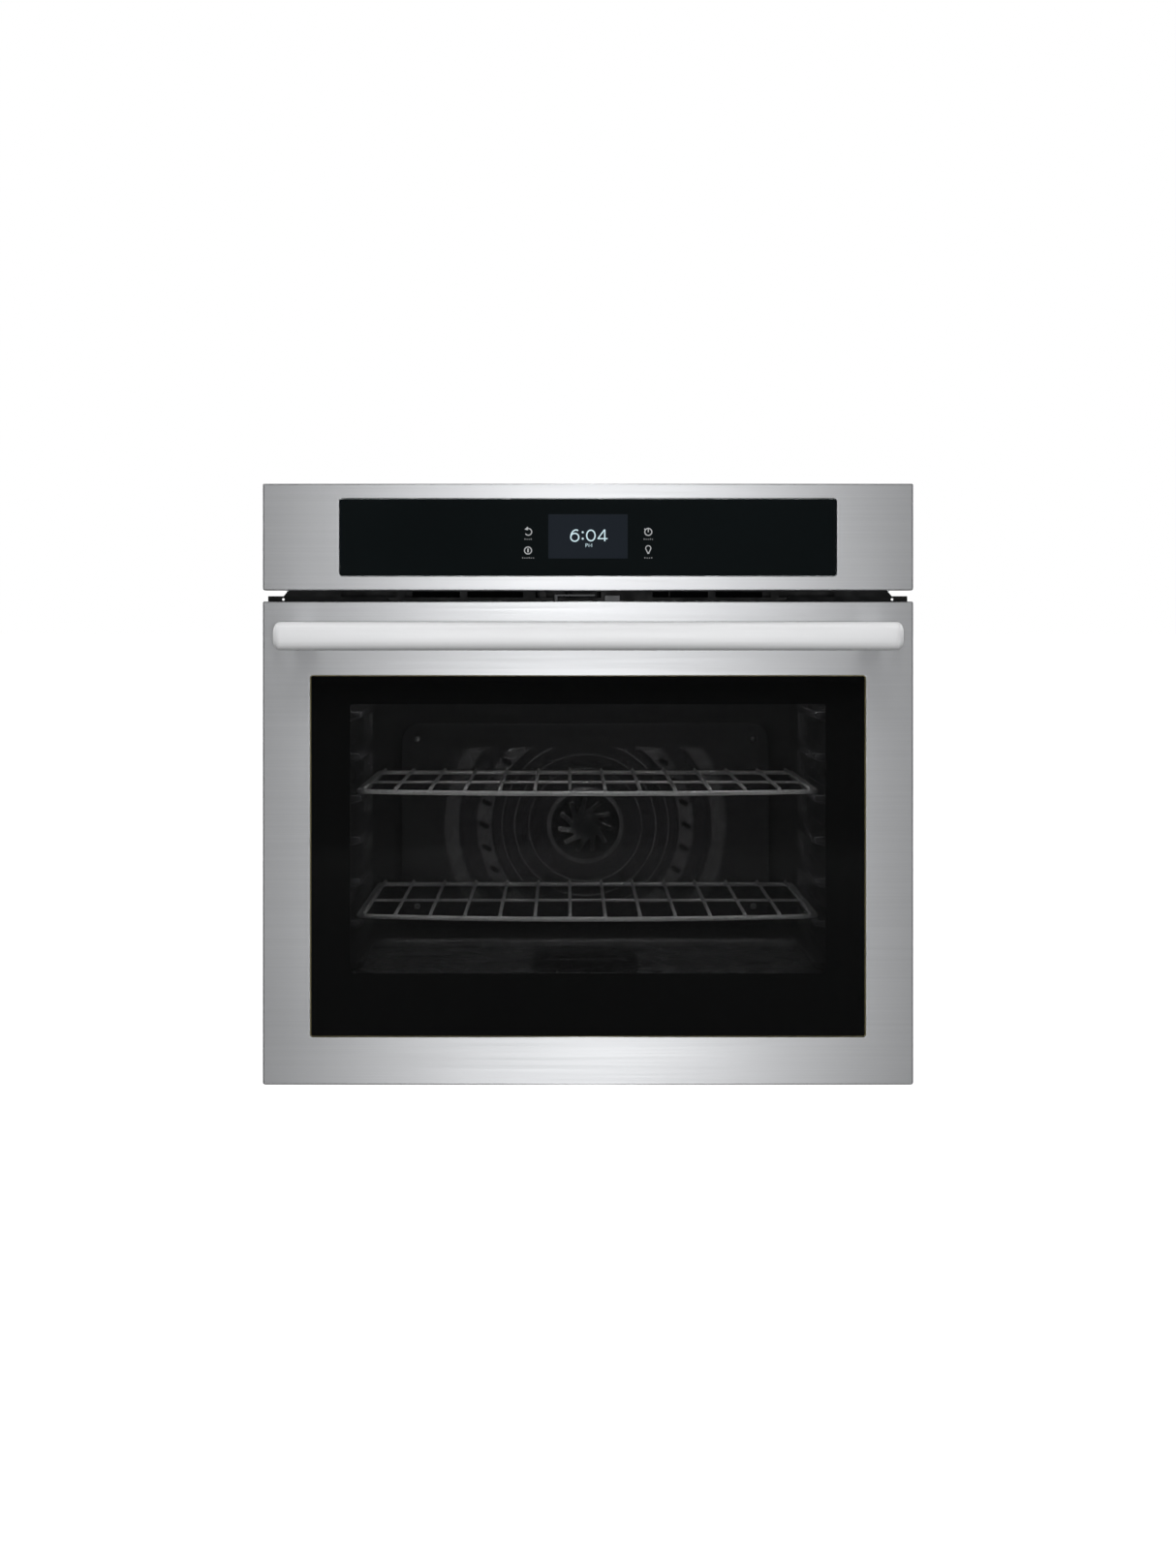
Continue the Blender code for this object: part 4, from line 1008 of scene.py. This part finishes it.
cover_obj = cover()
slots = []
for s in (-1, 1):
    for k in range(7):
        a = math.radians(-39 + 13 * k)
        cx, cz = s * 135.5 * math.cos(a), FZ + 135.5 * math.sin(a)
        tilt = math.radians(-30)
        outline = [(cx + u * math.cos(tilt) - v * math.sin(tilt), cz + u * math.sin(tilt) + v * math.cos(tilt))
                   for u, v in rr(-7.2, 7.2, -3.2, 3.2, 3.1, 5)]
        slots.append(loft_data([at_d(outline, 512), at_d(outline, 524)]))
for k in range(16):
    a = math.radians(11.25 + 22.5 * k)
    cx, cz = 85.5 * math.cos(a), FZ + 85.5 * math.sin(a)
    tilt = math.radians(-30)
    outline = [(cx + u * math.cos(tilt) - v * math.sin(tilt), cz + u * math.sin(tilt) + v * math.cos(tilt))
               for u, v in rr(-4.6, 4.6, -1.5, 1.5, 1.45, 4)]
    slots.append(loft_data([at_d(outline, 512), at_d(outline, 524)]))
cut_out(cover_obj, *slots)
# The slopes and beads of the cover get painted highlight: the paler enamel stands in for light caught on them.
recolour(cover_obj, painted_highlight_faces, ENAMEL_PAINTED_HIGHLIGHT)


# ------------------------------------------------------------------ screws
def screw_template(r, h):
    """A cross-recessed pan head, its axis along the third coordinate and its seat at 0."""
    n = 24
    loops = []
    for q, w in ((r, -0.6), (r, 0.25 * h), (0.93 * r, 0.62 * h), (0.7 * r, 0.88 * h), (0.4 * r, h)):
        loops.append([(q * math.cos(2 * math.pi * k / n), q * math.sin(2 * math.pi * k / n), w) for k in range(n)])
    verts, faces = loft_data(loops)
    a, b = 0.13 * r, 0.52 * r
    cross = [(a, a), (b, a), (b, -a), (a, -a), (a, -b), (-a, -b), (-a, -a), (-b, -a), (-b, a), (-a, a), (-a, b), (a, b)]
    mesh = bpy.data.meshes.new("screw")
    mesh.from_pydata(verts, [], faces)
    cutter = bpy.data.meshes.new("cross")
    cv, cf = loft_data([[(u, v, 0.35 * h) for u, v in cross], [(u, v, 2 * h) for u, v in cross]])
    cutter.from_pydata(cv, [], cf)
    made = []
    for m in (mesh, cutter):
        bm = bmesh.new()
        bm.from_mesh(m)
        bmesh.ops.recalc_face_normals(bm, faces=bm.faces[:])
        bm.to_mesh(m)
        bm.free()
        o = bpy.data.objects.new("helper", m)
        LINKED.link(o)
        made.append(o)
    modifier = made[0].modifiers.new("cut", "BOOLEAN")
    modifier.operation = "DIFFERENCE"
    modifier.solver = "EXACT"
    modifier.object = made[1]
    out = bpy.data.meshes.new_from_object(made[0].evaluated_get(bpy.context.evaluated_depsgraph_get()))
    result = ([tuple(v.co) for v in out.vertices], [tuple(p.vertices) for p in out.polygons])
    for o in made:
        bpy.data.objects.remove(o, do_unlink=True)
    for m in (mesh, cutter, out):
        bpy.data.meshes.remove(m)
    return result


SCREW_HEADS = {}
TURN = {
    "-d": lambda u, v, w, p: (p[0] + u, p[1] - w, p[2] + v),
    "+d": lambda u, v, w, p: (p[0] - u, p[1] + w, p[2] + v),
    "+x": lambda u, v, w, p: (p[0] + w, p[1] + u, p[2] + v),
    "-x": lambda u, v, w, p: (p[0] - w, p[1] - u, p[2] + v),
    "+z": lambda u, v, w, p: (p[0] + u, p[1] + v, p[2] + w),
    "-z": lambda u, v, w, p: (p[0] - u, p[1] + v, p[2] - w),
}


def screws(name, places, way, r, h, material, body, slot):
    key = (r, h)
    if key not in SCREW_HEADS:
        SCREW_HEADS[key] = screw_template(r, h)
    verts, faces = SCREW_HEADS[key]
    parts = []
    for k, p in enumerate(places):
        c, s = math.cos(0.7 * k + 0.3), math.sin(0.7 * k + 0.3)
        parts.append(([TURN[way](u * c - v * s, u * s + v * c, w, p) for u, v, w in verts], faces))
    return put(name, *joined(parts), material, body, slot, angle=40)


screws("cover_screws", [(s * 226, 517.9, z) for s in (-1, 1) for z in (163.5, 388.5)], "-d", 4.2, 2.2, PLAIN, "chassis", "steel")


# ------------------------------------------------------------------ convection fan
def fan_blades():
    parts = []
    count, rows, cols = 11, 22, 10
    for b in range(count):
        angle = math.radians(96.3) + 2 * math.pi * b / count
        lean = angle - math.radians(22.0)
        cx, cz = 25.5 * math.cos(angle), FZ + 25.5 * math.sin(angle)
        ax, az = math.cos(lean), math.sin(lean)
        front, back = [], []
        for i in range(rows + 1):
            u = i / rows
            along = -13.0 + 24.6 * u
            half = 3.3 + 2.4 * max(0.0, 1 - u / 0.42) ** 1.3
            if u > 0.93:
                half -= 0.9 * ((u - 0.93) / 0.07) ** 2
            for j in range(cols + 1):
                v = 2.0 * j / cols - 1.0
                across = half * v
                inside = max(abs(across) / 1.45, (abs(along - 0.5) - 6.4) / 1.45 if abs(along - 0.5) > 6.4 else 0.0)
                lift = 0.8 * v + 0.75 * pulse(inside, 1.0, 0.16, 0.42)
                x, z = cx + ax * along - az * across, cz + az * along + ax * across
                front.append((x, 523.5 - lift, z))
                back.append((x, 524.3 - 0.8 * v, z))
        n = cols + 1
        total = (rows + 1) * n
        faces = []
        for i in range(rows):
            for j in range(cols):
                q = i * n + j
                faces.append((q, q + 1, q + n + 1, q + n))
                faces.append((total + q, total + q + n, total + q + n + 1, total + q + 1))
        edge = [j for j in range(n)] + [i * n + cols for i in range(1, rows + 1)] + [rows * n + j for j in range(cols - 1, -1, -1)]
        edge += [i * n for i in range(rows - 1, 0, -1)]
        for k in range(len(edge)):
            p, q = edge[k], edge[(k + 1) % len(edge)]
            faces.append((p, q, total + q, total + p))
        parts.append((front + back, faces))
    hub = [(0.01, 521.3), (9, 521.3), (10.2, 521.8), (11.5, 523.0), (15.0, 523.3), (15.4, 523.8), (15.0, 524.6), (0.01, 524.6)]
    parts.append(loft_data(turned(hub, "Y", (0, FZ), 48)))
    collar = [(0.01, 524.5), (5.0, 524.5), (5.0, 540), (3.0, 540), (3.0, 578), (0.01, 578)]
    parts.append(loft_data(turned(collar, "Y", (0, FZ), 24)))
    nut = [at_d(circle(0, FZ, 4.4, 6), 517.4), at_d(circle(0, FZ, 5.2, 6), 518.0), at_d(circle(0, FZ, 5.2, 6), 521.6)]
    parts.append(loft_data(nut))
    parts.append(loft_data(turned([(0.01, 516.5), (2.2, 516.7), (2.6, 517.2), (2.6, 518)], "Y", (0, FZ), 20)))
    return put("fan_wheel", *joined(parts), FAN, "fan", "fan_steel", ["convection_fan"], angle=30)


fan_blades()

# ------------------------------------------------------------------ racks
def bow(x):
    return 95.0 - 25.0 * (1.0 - (x / 276.0) ** 2)


def wire_rack(name, zb):
    path = [(276, 475, zb), (276, 497, zb)]
    path += [(264 + 12 * math.cos(math.radians(a)), 497 + 12 * math.sin(math.radians(a)), zb) for a in (22.5, 45, 67.5)]
    path += [(264, 509, zb), (-264, 509, zb)]
    path += [(-264 + 12 * math.cos(math.radians(a)), 497 + 12 * math.sin(math.radians(a)), zb) for a in (112.5, 135, 157.5)]
    path += [(-276, 497, zb), (-276, 475, zb), (-276, 110, zb), (-275, 103.5, zb), (-272, 99, zb)]
    for k in range(1, 30):
        x = -272 + 544 * k / 30
        path.append((x, bow(x), zb - 1.2 * (1 - (x / 276) ** 2)))
    path += [(272, 99, zb), (275, 103.5, zb), (276, 110, zb)]
    parts = [tube_data(path, 2.8, 14, loop=True)]
    for k in range(14):
        x = -272 + 544 * k / 13
        if k in (0, 13):
            x *= 268.0 / 272.0
        parts.append(tube_data([(x, bow(x) - 4.3, zb + 3.9), (x, 200, zb + 3.9), (x, 510.4, zb + 3.9)], 2.1, 12, round_ends=True))
    parts.append(tube_data([(-275.5, 297, zb - 0.6), (275.5, 297, zb - 0.6)], 1.8, 12, round_ends=True))
    beads = []
    for k in range(14):
        x = -272 + 544 * k / 13
        if k in (0, 13):
            x *= 268.0 / 272.0
        for d, r in ((bow(x) + 0.5, 2.3), (507.6, 2.3)):
            w = [(0.01, zb - 0.1), (r, zb + 0.6), (r * 1.12, zb + 1.8), (r, zb + 3.0), (0.01, zb + 3.6)]
            beads.append(loft_data(turned(w, "Z", (x, d), 12)))
    parts += beads
    return put(name + "_wires", *joined(parts), CHROME, name, "chrome_wire", [name], angle=60)


wire_rack("upper_rack", 343.8)
wire_rack("lower_rack", 193.8)


# ------------------------------------------------------------------ cavity fittings
def ferrule(name, x, z, r_in, r_out, d_back=544.9):
    profile = [(r_in, d_back), (r_out, d_back), (r_out, d_back - 1.6), (r_out * 0.82, d_back - 3.0), (r_in, d_back - 3.4)]
    return loft_data(turned(profile, "Y", (x, z), 24), wrap=True)


put("element_ferrules", *joined([ferrule("a", x, 524, 3.6, 8.5) for x in (-25, 25)] +
                                [box_data(-44, 44, 543.6, 544.6, 512, 527.5, 0.3)]), PLAIN, "chassis", "steel")


def round_serpentine(z, half, d_front, d_back, d_in, d_end, passes):
    xs = [half - 2 * half * k / (passes - 1) for k in range(passes)]
    path = [(25, d_end, z), (25, d_back, z), (xs[0], d_back, z), (xs[0], d_front, z)]
    for k in range(1, passes - 1):
        rows = (d_front, d_in) if k % 2 else (d_in, d_front)
        path += [(xs[k], rows[0], z), (xs[k], rows[1], z)]
    path += [(xs[-1], d_front, z), (xs[-1], d_back, z), (-25, d_back, z), (-25, d_end, z)]
    return fillet(path, 17, 8)


put("broil_loops", *tube_data(round_serpentine(524, 232, 105, 500, 452, 590, 8), 3.4, 14), ELEMENT, "chassis", "element",
    ["broil_element"], angle=60)
clips = []
for x in (-166, 0, 166):
    for d in (160, 400):
        clips.append(tube_data([(x - 50, d, 519.4), (x + 50, d, 519.4)], 1.4, 8, round_ends=True))
        clips += [tube_data([(x + o, d, 519.6), (x + o, d, 544.5)], 1.4, 8, round_ends=True) for o in (-47, 47)]
put("broil_hangers", *joined(clips), PLAIN, "chassis", "steel")

lens = [(0.01, 523.0), (6, 523.15), (12, 523.9), (18, 525.6), (23, 529), (25.8, 533.5), (27, 540), (30, 541.5), (30, 544.6),
        (23.5, 544.6), (23.5, 541), (22.6, 533.6), (20, 530.4), (16, 528), (9, 526), (0.01, 525.5)]
loft("lamp_cover_glass", turned(lens, "Y", (200, 486), 48), LENS, "chassis", "clear_glass", ["lamp_lens"], wrap=True, angle=40)
grip = []
for k in range(20):
    a = 2 * math.pi * k / 20
    grip.append(loft_data(turned([(0.01, 540.6), (1.3, 541.0), (1.3, 543.9), (0.01, 544.3)], "Y",
                                 (200 + 29.4 * math.cos(a), 486 + 29.4 * math.sin(a)), 8)))
put("lamp_cover_grips", *joined(grip), LENS, "chassis", "clear_glass")
screws("sensor_screws", [(-200 + s * 8, 543.2, 490) for s in (-1, 1)], "-d", 2.4, 1.4, PLAIN, "chassis", "steel")

# ------------------------------------------------------------------ latch and vent
hook = [at_z([(-32, 105), (-29.5, 111.5), (-23, 114), (-16.5, 111.5), (-14, 105), (-13, 60), (-10, 42), (8, 39), (8, 33.4),
              (-39.4, 32.4), (-40, 33), (-40, 38.4), (-31, 42), (-30, 60)], 578.5)]
hook.append([(x, d, 580.5) for x, d, z in hook[0]])
tab = loft_data([at_z(rr(-40, -35, 34.5, 38.8, 0.8, 3), 568.2), at_z(rr(-40, -35, 34.5, 38.8, 0.8, 3), 579.4)])
latch = put("latch_arm", *joined([loft_data(hook)]), LATCH, "latch", "steel", ["latch_hook"], angle=30)
cut_out(latch, loft_data([at_z(circle(-23, 105, 3.4, 20), 570), at_z(circle(-23, 105, 3.4, 20), 590)]))
put("latch_tab", *tab, LATCH, "latch", "steel")
screws("flange_screws", [(s * 361.9, 52.1, 574.6) for s in ()] or [(-300, 52.0, 596), (300, 52.0, 596)], "-d", 3.4, 1.6, DARK, "chassis", "dark_steel")

slats = []
for k in range(7):
    z = 575.2 + 4.6 * k
    section = [(143.0, z + 3.4), (143.5, z + 4.0), (153.0, z - 0.4), (152.4, z - 1.0)]
    for x0, x1 in ((-214, -60), (14, 214)):
        slats.append(loft_data([[(x, d, w) for d, w in section] for x in (x0, x1)]))
for x in (-214, -60, 14, 100, 214):
    slats.append(box_data(x - 0.6, x + 0.6, 142.0, 154.0, 573.8, 606.5))
put("vent_louvres", *joined(slats), DARK, "chassis", "dark_steel")
put("vent_top_baffle", *box_data(-340, 340, 60, 142, 606.6, 607.4), DARK, "chassis", "dark_steel")
# A dark sheet behind the louvres hides the duct: painted shade, standing in for the dark inside of the duct.
put("vent_painted_shade_sheet", *joined([box_data(x0, x1, 172.0, 173.2, 574.8, 590.0) for x0, x1 in ((-340, -201.5), (-198.5, 198.5), (201.5, 340))]),
    DARK, "chassis", "dark_steel")

# ------------------------------------------------------------------ outer casing
def plateau(axis, u0, u1, v0, v1, r, base, rise, edge=6.0):
    """A low pressed field standing proud of a panel."""
    at = {"x": lambda p, w: at_x(p, w), "d": lambda p, w: at_d(p, w), "z": lambda p, w: at_z(p, w)}[axis]
    rect = (u0, u1, v0, v1)
    sink = -0.4 if rise > 0 else 0.4
    return loft_data([at(rr_in(rect, r, 0, 6), base + sink), at(rr_in(rect, r, 0, 6), base + 0.02 * rise),
                      at(rr_in(rect, r, edge * 0.2, 6), base + 0.12 * rise), at(rr_in(rect, r, edge * 0.8, 6), base + 0.9 * rise),
                      at(rr_in(rect, r, edge, 6), base + rise), at(rr_in(rect, r, edge * 2, 6), base + rise)])


for side, s in (("left", -1), ("right", 1)):
    fields = [plateau("x", 110, 560, 70, 330, 30, s * 358.0, s * 2.4), plateau("x", 110, 560, 370, 560, 30, s * 358.0, s * 2.4),
              plateau("x", 110, 330, 595, 668, 18, s * 358.0, s * 2.0)]
    put(side + "_panel_pressings", *joined(fields), GALV, "chassis", "galvanised")
    way = "+x" if s > 0 else "-x"
    spots = [(s * 358.0, d, z) for z in (12, 682) for d in (90, 220, 350, 480, 595)] + [(s * 358.0, d, z) for d in (90, 597) for z in (180, 345, 575)]
    screws(side + "_panel_screws", spots, way, 4.4, 2.2, PLAIN, "chassis", "steel")
    louvres = []
    for k in range(9):
        d = 372 + 22 * k
        prof = [(d, 0.0), (d + 1.5, 1.9), (d + 9, 3.0), (d + 11, 3.0), (d + 11.3, 0.0)]
        rows = []
        for z, q in ((600, 0.0), (603, 0.75), (607, 1.0), (656, 1.0), (660, 0.75), (663, 0.0)):
            rows.append([(s * (357.8 + w * q + 0.2), u, z) for u, w in prof])
        louvres.append(loft_data(rows))
    put(side + "_panel_louvres", *joined(louvres), GALV, "chassis", "galvanised")

fields = [plateau("d", -320, 320, 60, 330, 30, 612.6, 2.4), plateau("d", -320, -190, 370, 520, 20, 612.6, 2.4),
          plateau("d", 190, 320, 370, 520, 20, 612.6, 2.4)]
put("back_panel_pressings", *joined(fields), GALV, "chassis", "galvanised")
spots = [(x, 612.6, z) for z in (12, 680) for x in (-340, -170, 0, 170, 340)] + [(s * 346, 612.6, z) for s in (-1, 1) for z in (150, 345, 540)]
screws("back_panel_screws", spots, "+d", 4.4, 2.2, PLAIN, "chassis", "steel")
hoods = []
for x in (-150, -120, -90, -60, 60, 90, 120, 150):
    rows = []
    for z, q in ((558, 0.0), (561, 0.8), (565, 1.0), (635, 1.0), (639, 0.8), (642, 0.0)):
        rows.append([(x + u, 612.4 + w * q + 0.2, z) for u, w in ((-5.5, 0.0), (-4.6, 1.6), (2.5, 3.6), (3.4, 3.6), (3.6, 2.8), (-4.0, 0.6))])
    hoods.append(loft_data(rows))
put("back_panel_louvres", *joined(hoods), GALV, "chassis", "galvanised")
screws("terminal_cover_screws", [(-322, 625.0 - 1.4, 640), (-238, 625.0 - 1.4, 640)], "+d", 3.6, 1.3, PLAIN, "chassis", "steel")

fields = [plateau("z", -300, 300, 110, 330, 24, 691.6, 2.0), plateau("z", -200, 320, 380, 580, 24, 691.6, 2.0)]
put("top_cover_pressings", *joined(fields), GALV, "chassis", "galvanised")
spots = [(x, d, 691.6) for d in (66, 600) for x in (-340, -170, 0, 170, 340)] + [(s * 346, d, 691.6) for s in (-1, 1) for d in (240, 420)]
screws("top_cover_screws", spots, "+z", 4.4, 2.2, PLAIN, "chassis", "steel")

# gland with its threaded nut and lock ring
rings = [(8, 684), (11.8, 684), (12, 690)]
gland = [(8.0, 684.0), (12.0, 684.0), (12.0, 692.0)]
for k in range(8):
    gland += [(11.0, 698.6 + 1.3 * k), (11.9, 699.2 + 1.3 * k)]
gland += [(11.2, 709.2), (8.0, 709.2)]
loft("gland_body", turned(gland, "Z", (-280, 570), 32), GALV, "chassis", "galvanised", ["conduit_gland"], wrap=True, angle=30)
put("gland_nuts", *joined([loft_data([at_z(circle(-280, 570, 14.6, 6), 692.0), at_z(circle(-280, 570, 15.9, 6), 693.0),
                                      at_z(circle(-280, 570, 15.9, 6), 696.4), at_z(circle(-280, 570, 14.6, 6), 697.4)]),
                           loft_data([at_z(circle(-280, 570, 15.9, 24), 686.2), at_z(circle(-280, 570, 15.9, 24), 689.8)])]),
    GALV, "chassis", "galvanised", angle=30)

# ------------------------------------------------------------------ studio
FILL, FLOOR_GLOW = 0.045, 1.05
KEY, KEY_LOW, HANDLE_LIGHT, TOP_LIGHT = 10.5, 37.5, 19.0, 7.0
GLOW, DOWN, WASH, SIDE = 0.6, 1.3, 1.9, 46.0


def area(name, place, target, width, height, power, colour=(1, 1, 1), spread=180.0, shadow=True, glossy=True):
    data = bpy.data.lights.new(name, "AREA")
    data.shape = "RECTANGLE"
    data.size, data.size_y = width, height
    data.energy = power
    data.color = colour
    data.spread = math.radians(spread)
    data.use_shadow = shadow
    obj = bpy.data.objects.new(name, data)
    obj.location = place
    obj.rotation_euler = (Vector(target) - Vector(place)).to_track_quat("-Z", "Y").to_euler()
    obj.visible_camera = False
    obj.visible_glossy = glossy
    LINKED.link(obj)
    return obj


world = bpy.data.worlds.new("studio")
bpy.context.scene.world = world
world.use_nodes = True
wt = world.node_tree
for old in list(wt.nodes):
    wt.nodes.remove(old)
out = wt.nodes.new("ShaderNodeOutputWorld")
seen = wt.nodes.new("ShaderNodeBackground")
seen.inputs["Color"].default_value = (1, 1, 1, 1)
seen.inputs["Strength"].default_value = 1.0
fill = wt.nodes.new("ShaderNodeBackground")
fill.inputs["Color"].default_value = (0.93, 0.97, 1.0, 1)
fill.inputs["Strength"].default_value = FILL
path = wt.nodes.new("ShaderNodeLightPath")
blend = wt.nodes.new("ShaderNodeMixShader")
wt.links.new(path.outputs["Is Camera Ray"], blend.inputs["Fac"])
wt.links.new(fill.outputs["Background"], blend.inputs[1])
wt.links.new(seen.outputs["Background"], blend.inputs[2])
wt.links.new(blend.outputs["Shader"], out.inputs["Surface"])

floor_mesh = bpy.data.meshes.new("studio_floor")
floor_mesh.from_pydata([(-40, -12, -0.0005), (40, -12, -0.0005), (40, 60, -0.0005), (-40, 60, -0.0005)], [], [(0, 1, 2, 3)])
floor = bpy.data.objects.new("studio_floor", floor_mesh)
LINKED.link(floor)
floor_material = bpy.data.materials.new("floor_pale")
floor_material.use_nodes = True
ft = floor_material.node_tree
for old in list(ft.nodes):
    ft.nodes.remove(old)
coord = ft.nodes.new("ShaderNodeTexCoord")
cloud = ft.nodes.new("ShaderNodeTexNoise")
cloud.inputs["Scale"].default_value = 0.8
ft.links.new(coord.outputs["Object"], cloud.inputs["Vector"])
tone = ft.nodes.new("ShaderNodeMapRange")
tone.inputs["To Min"].default_value = 0.15
tone.inputs["To Max"].default_value = 0.19
ft.links.new(cloud.outputs["Fac"], tone.inputs["Value"])
grey = ft.nodes.new("ShaderNodeCombineColor")
for channel in ("Red", "Green", "Blue"):
    ft.links.new(tone.outputs["Result"], grey.inputs[channel])
matt = ft.nodes.new("ShaderNodeBsdfDiffuse")
ft.links.new(grey.outputs["Color"], matt.inputs["Color"])
glow = ft.nodes.new("ShaderNodeEmission")
glow.inputs["Strength"].default_value = FLOOR_GLOW
both = ft.nodes.new("ShaderNodeAddShader")
ft.links.new(matt.outputs["BSDF"], both.inputs[0])
ft.links.new(glow.outputs["Emission"], both.inputs[1])
path = ft.nodes.new("ShaderNodeLightPath")
pick = ft.nodes.new("ShaderNodeMixShader")
ft.links.new(path.outputs["Is Camera Ray"], pick.inputs["Fac"])
ft.links.new(matt.outputs["BSDF"], pick.inputs[1])
ft.links.new(both.outputs["Shader"], pick.inputs[2])
floor_out = ft.nodes.new("ShaderNodeOutputMaterial")
ft.links.new(pick.outputs["Shader"], floor_out.inputs["Surface"])
floor_mesh.materials.append(floor_material)

area("key_high", (0.03, -3.7, 1.95), (0.03, -0.3, 0.35), 0.52, 2.0, KEY)
low = area("key_low", (0.02, -3.9, 0.522), (0.02, -0.3, 0.522), 0.52, 0.13, KEY_LOW)
# The low key is flagged off the black glass, so that no view shows it mirrored there.
flagged = bpy.data.collections.new("flagged_from_key_low")
for name in ("control_pane", "door_pane", "display_window", "display_time", "display_half_day", "touch_icons", "touch_icon_bars"):
    if name in bpy.data.objects:
        flagged.objects.link(bpy.data.objects[name])
low.light_linking.receiver_collection = flagged
for entry in flagged.collection_objects:
    entry.light_linking.link_state = "EXCLUDE"
area("top_front", (0.0, -2.4, 3.4), (0.0, -0.3, 0.55), 3.6, 1.2, HANDLE_LIGHT)
area("front_wash", (0.0, -2.5, 2.9), (0.0, -0.3, 0.5), 3.0, 1.2, 38.0, glossy=False)
area("top_soft", (0.0, 0.5, 3.2), (0.0, 0.0, 0.3), 3.5, 3.0, TOP_LIGHT)
area("cavity_glow", (0.0, -0.221, 0.540), (0.0, 0.10, 0.24), 0.56, 0.03, GLOW)
area("cavity_down", (0.0, -0.221, 0.540), (0.0, 0.10, 0.10), 0.56, 0.03, DOWN, glossy=False)
area("cavity_wash", (0.0, -0.216, 0.33), (0.0, 0.3, 0.30), 0.54, 0.30, WASH, glossy=False)
area("side_left", (-3.4, 1.3, 1.5), (-0.38, 0.05, 0.30), 2.6, 2.0, SIDE)
area("side_right", (3.4, 1.3, 1.5), (0.38, 0.05, 0.30), 2.6, 2.0, SIDE)
area("back_soft", (0.0, 4.2, 1.5), (0.0, 0.34, 0.33), 3.0, 1.8, SIDE)

camera_data = bpy.data.cameras.new("camera")
camera_data.lens = 68.6
camera_data.sensor_width = 36.0
camera_data.shift_x = 0.0136
camera_data.shift_y = -0.112
camera_data.clip_end = 200.0
camera = bpy.data.objects.new("camera", camera_data)
camera.location = (-0.025, -3.7815, 0.564)
camera.rotation_euler = (math.radians(90), 0, 0)
LINKED.link(camera)
bpy.context.scene.camera = camera
bpy.context.scene.view_settings.view_transform = "Standard"
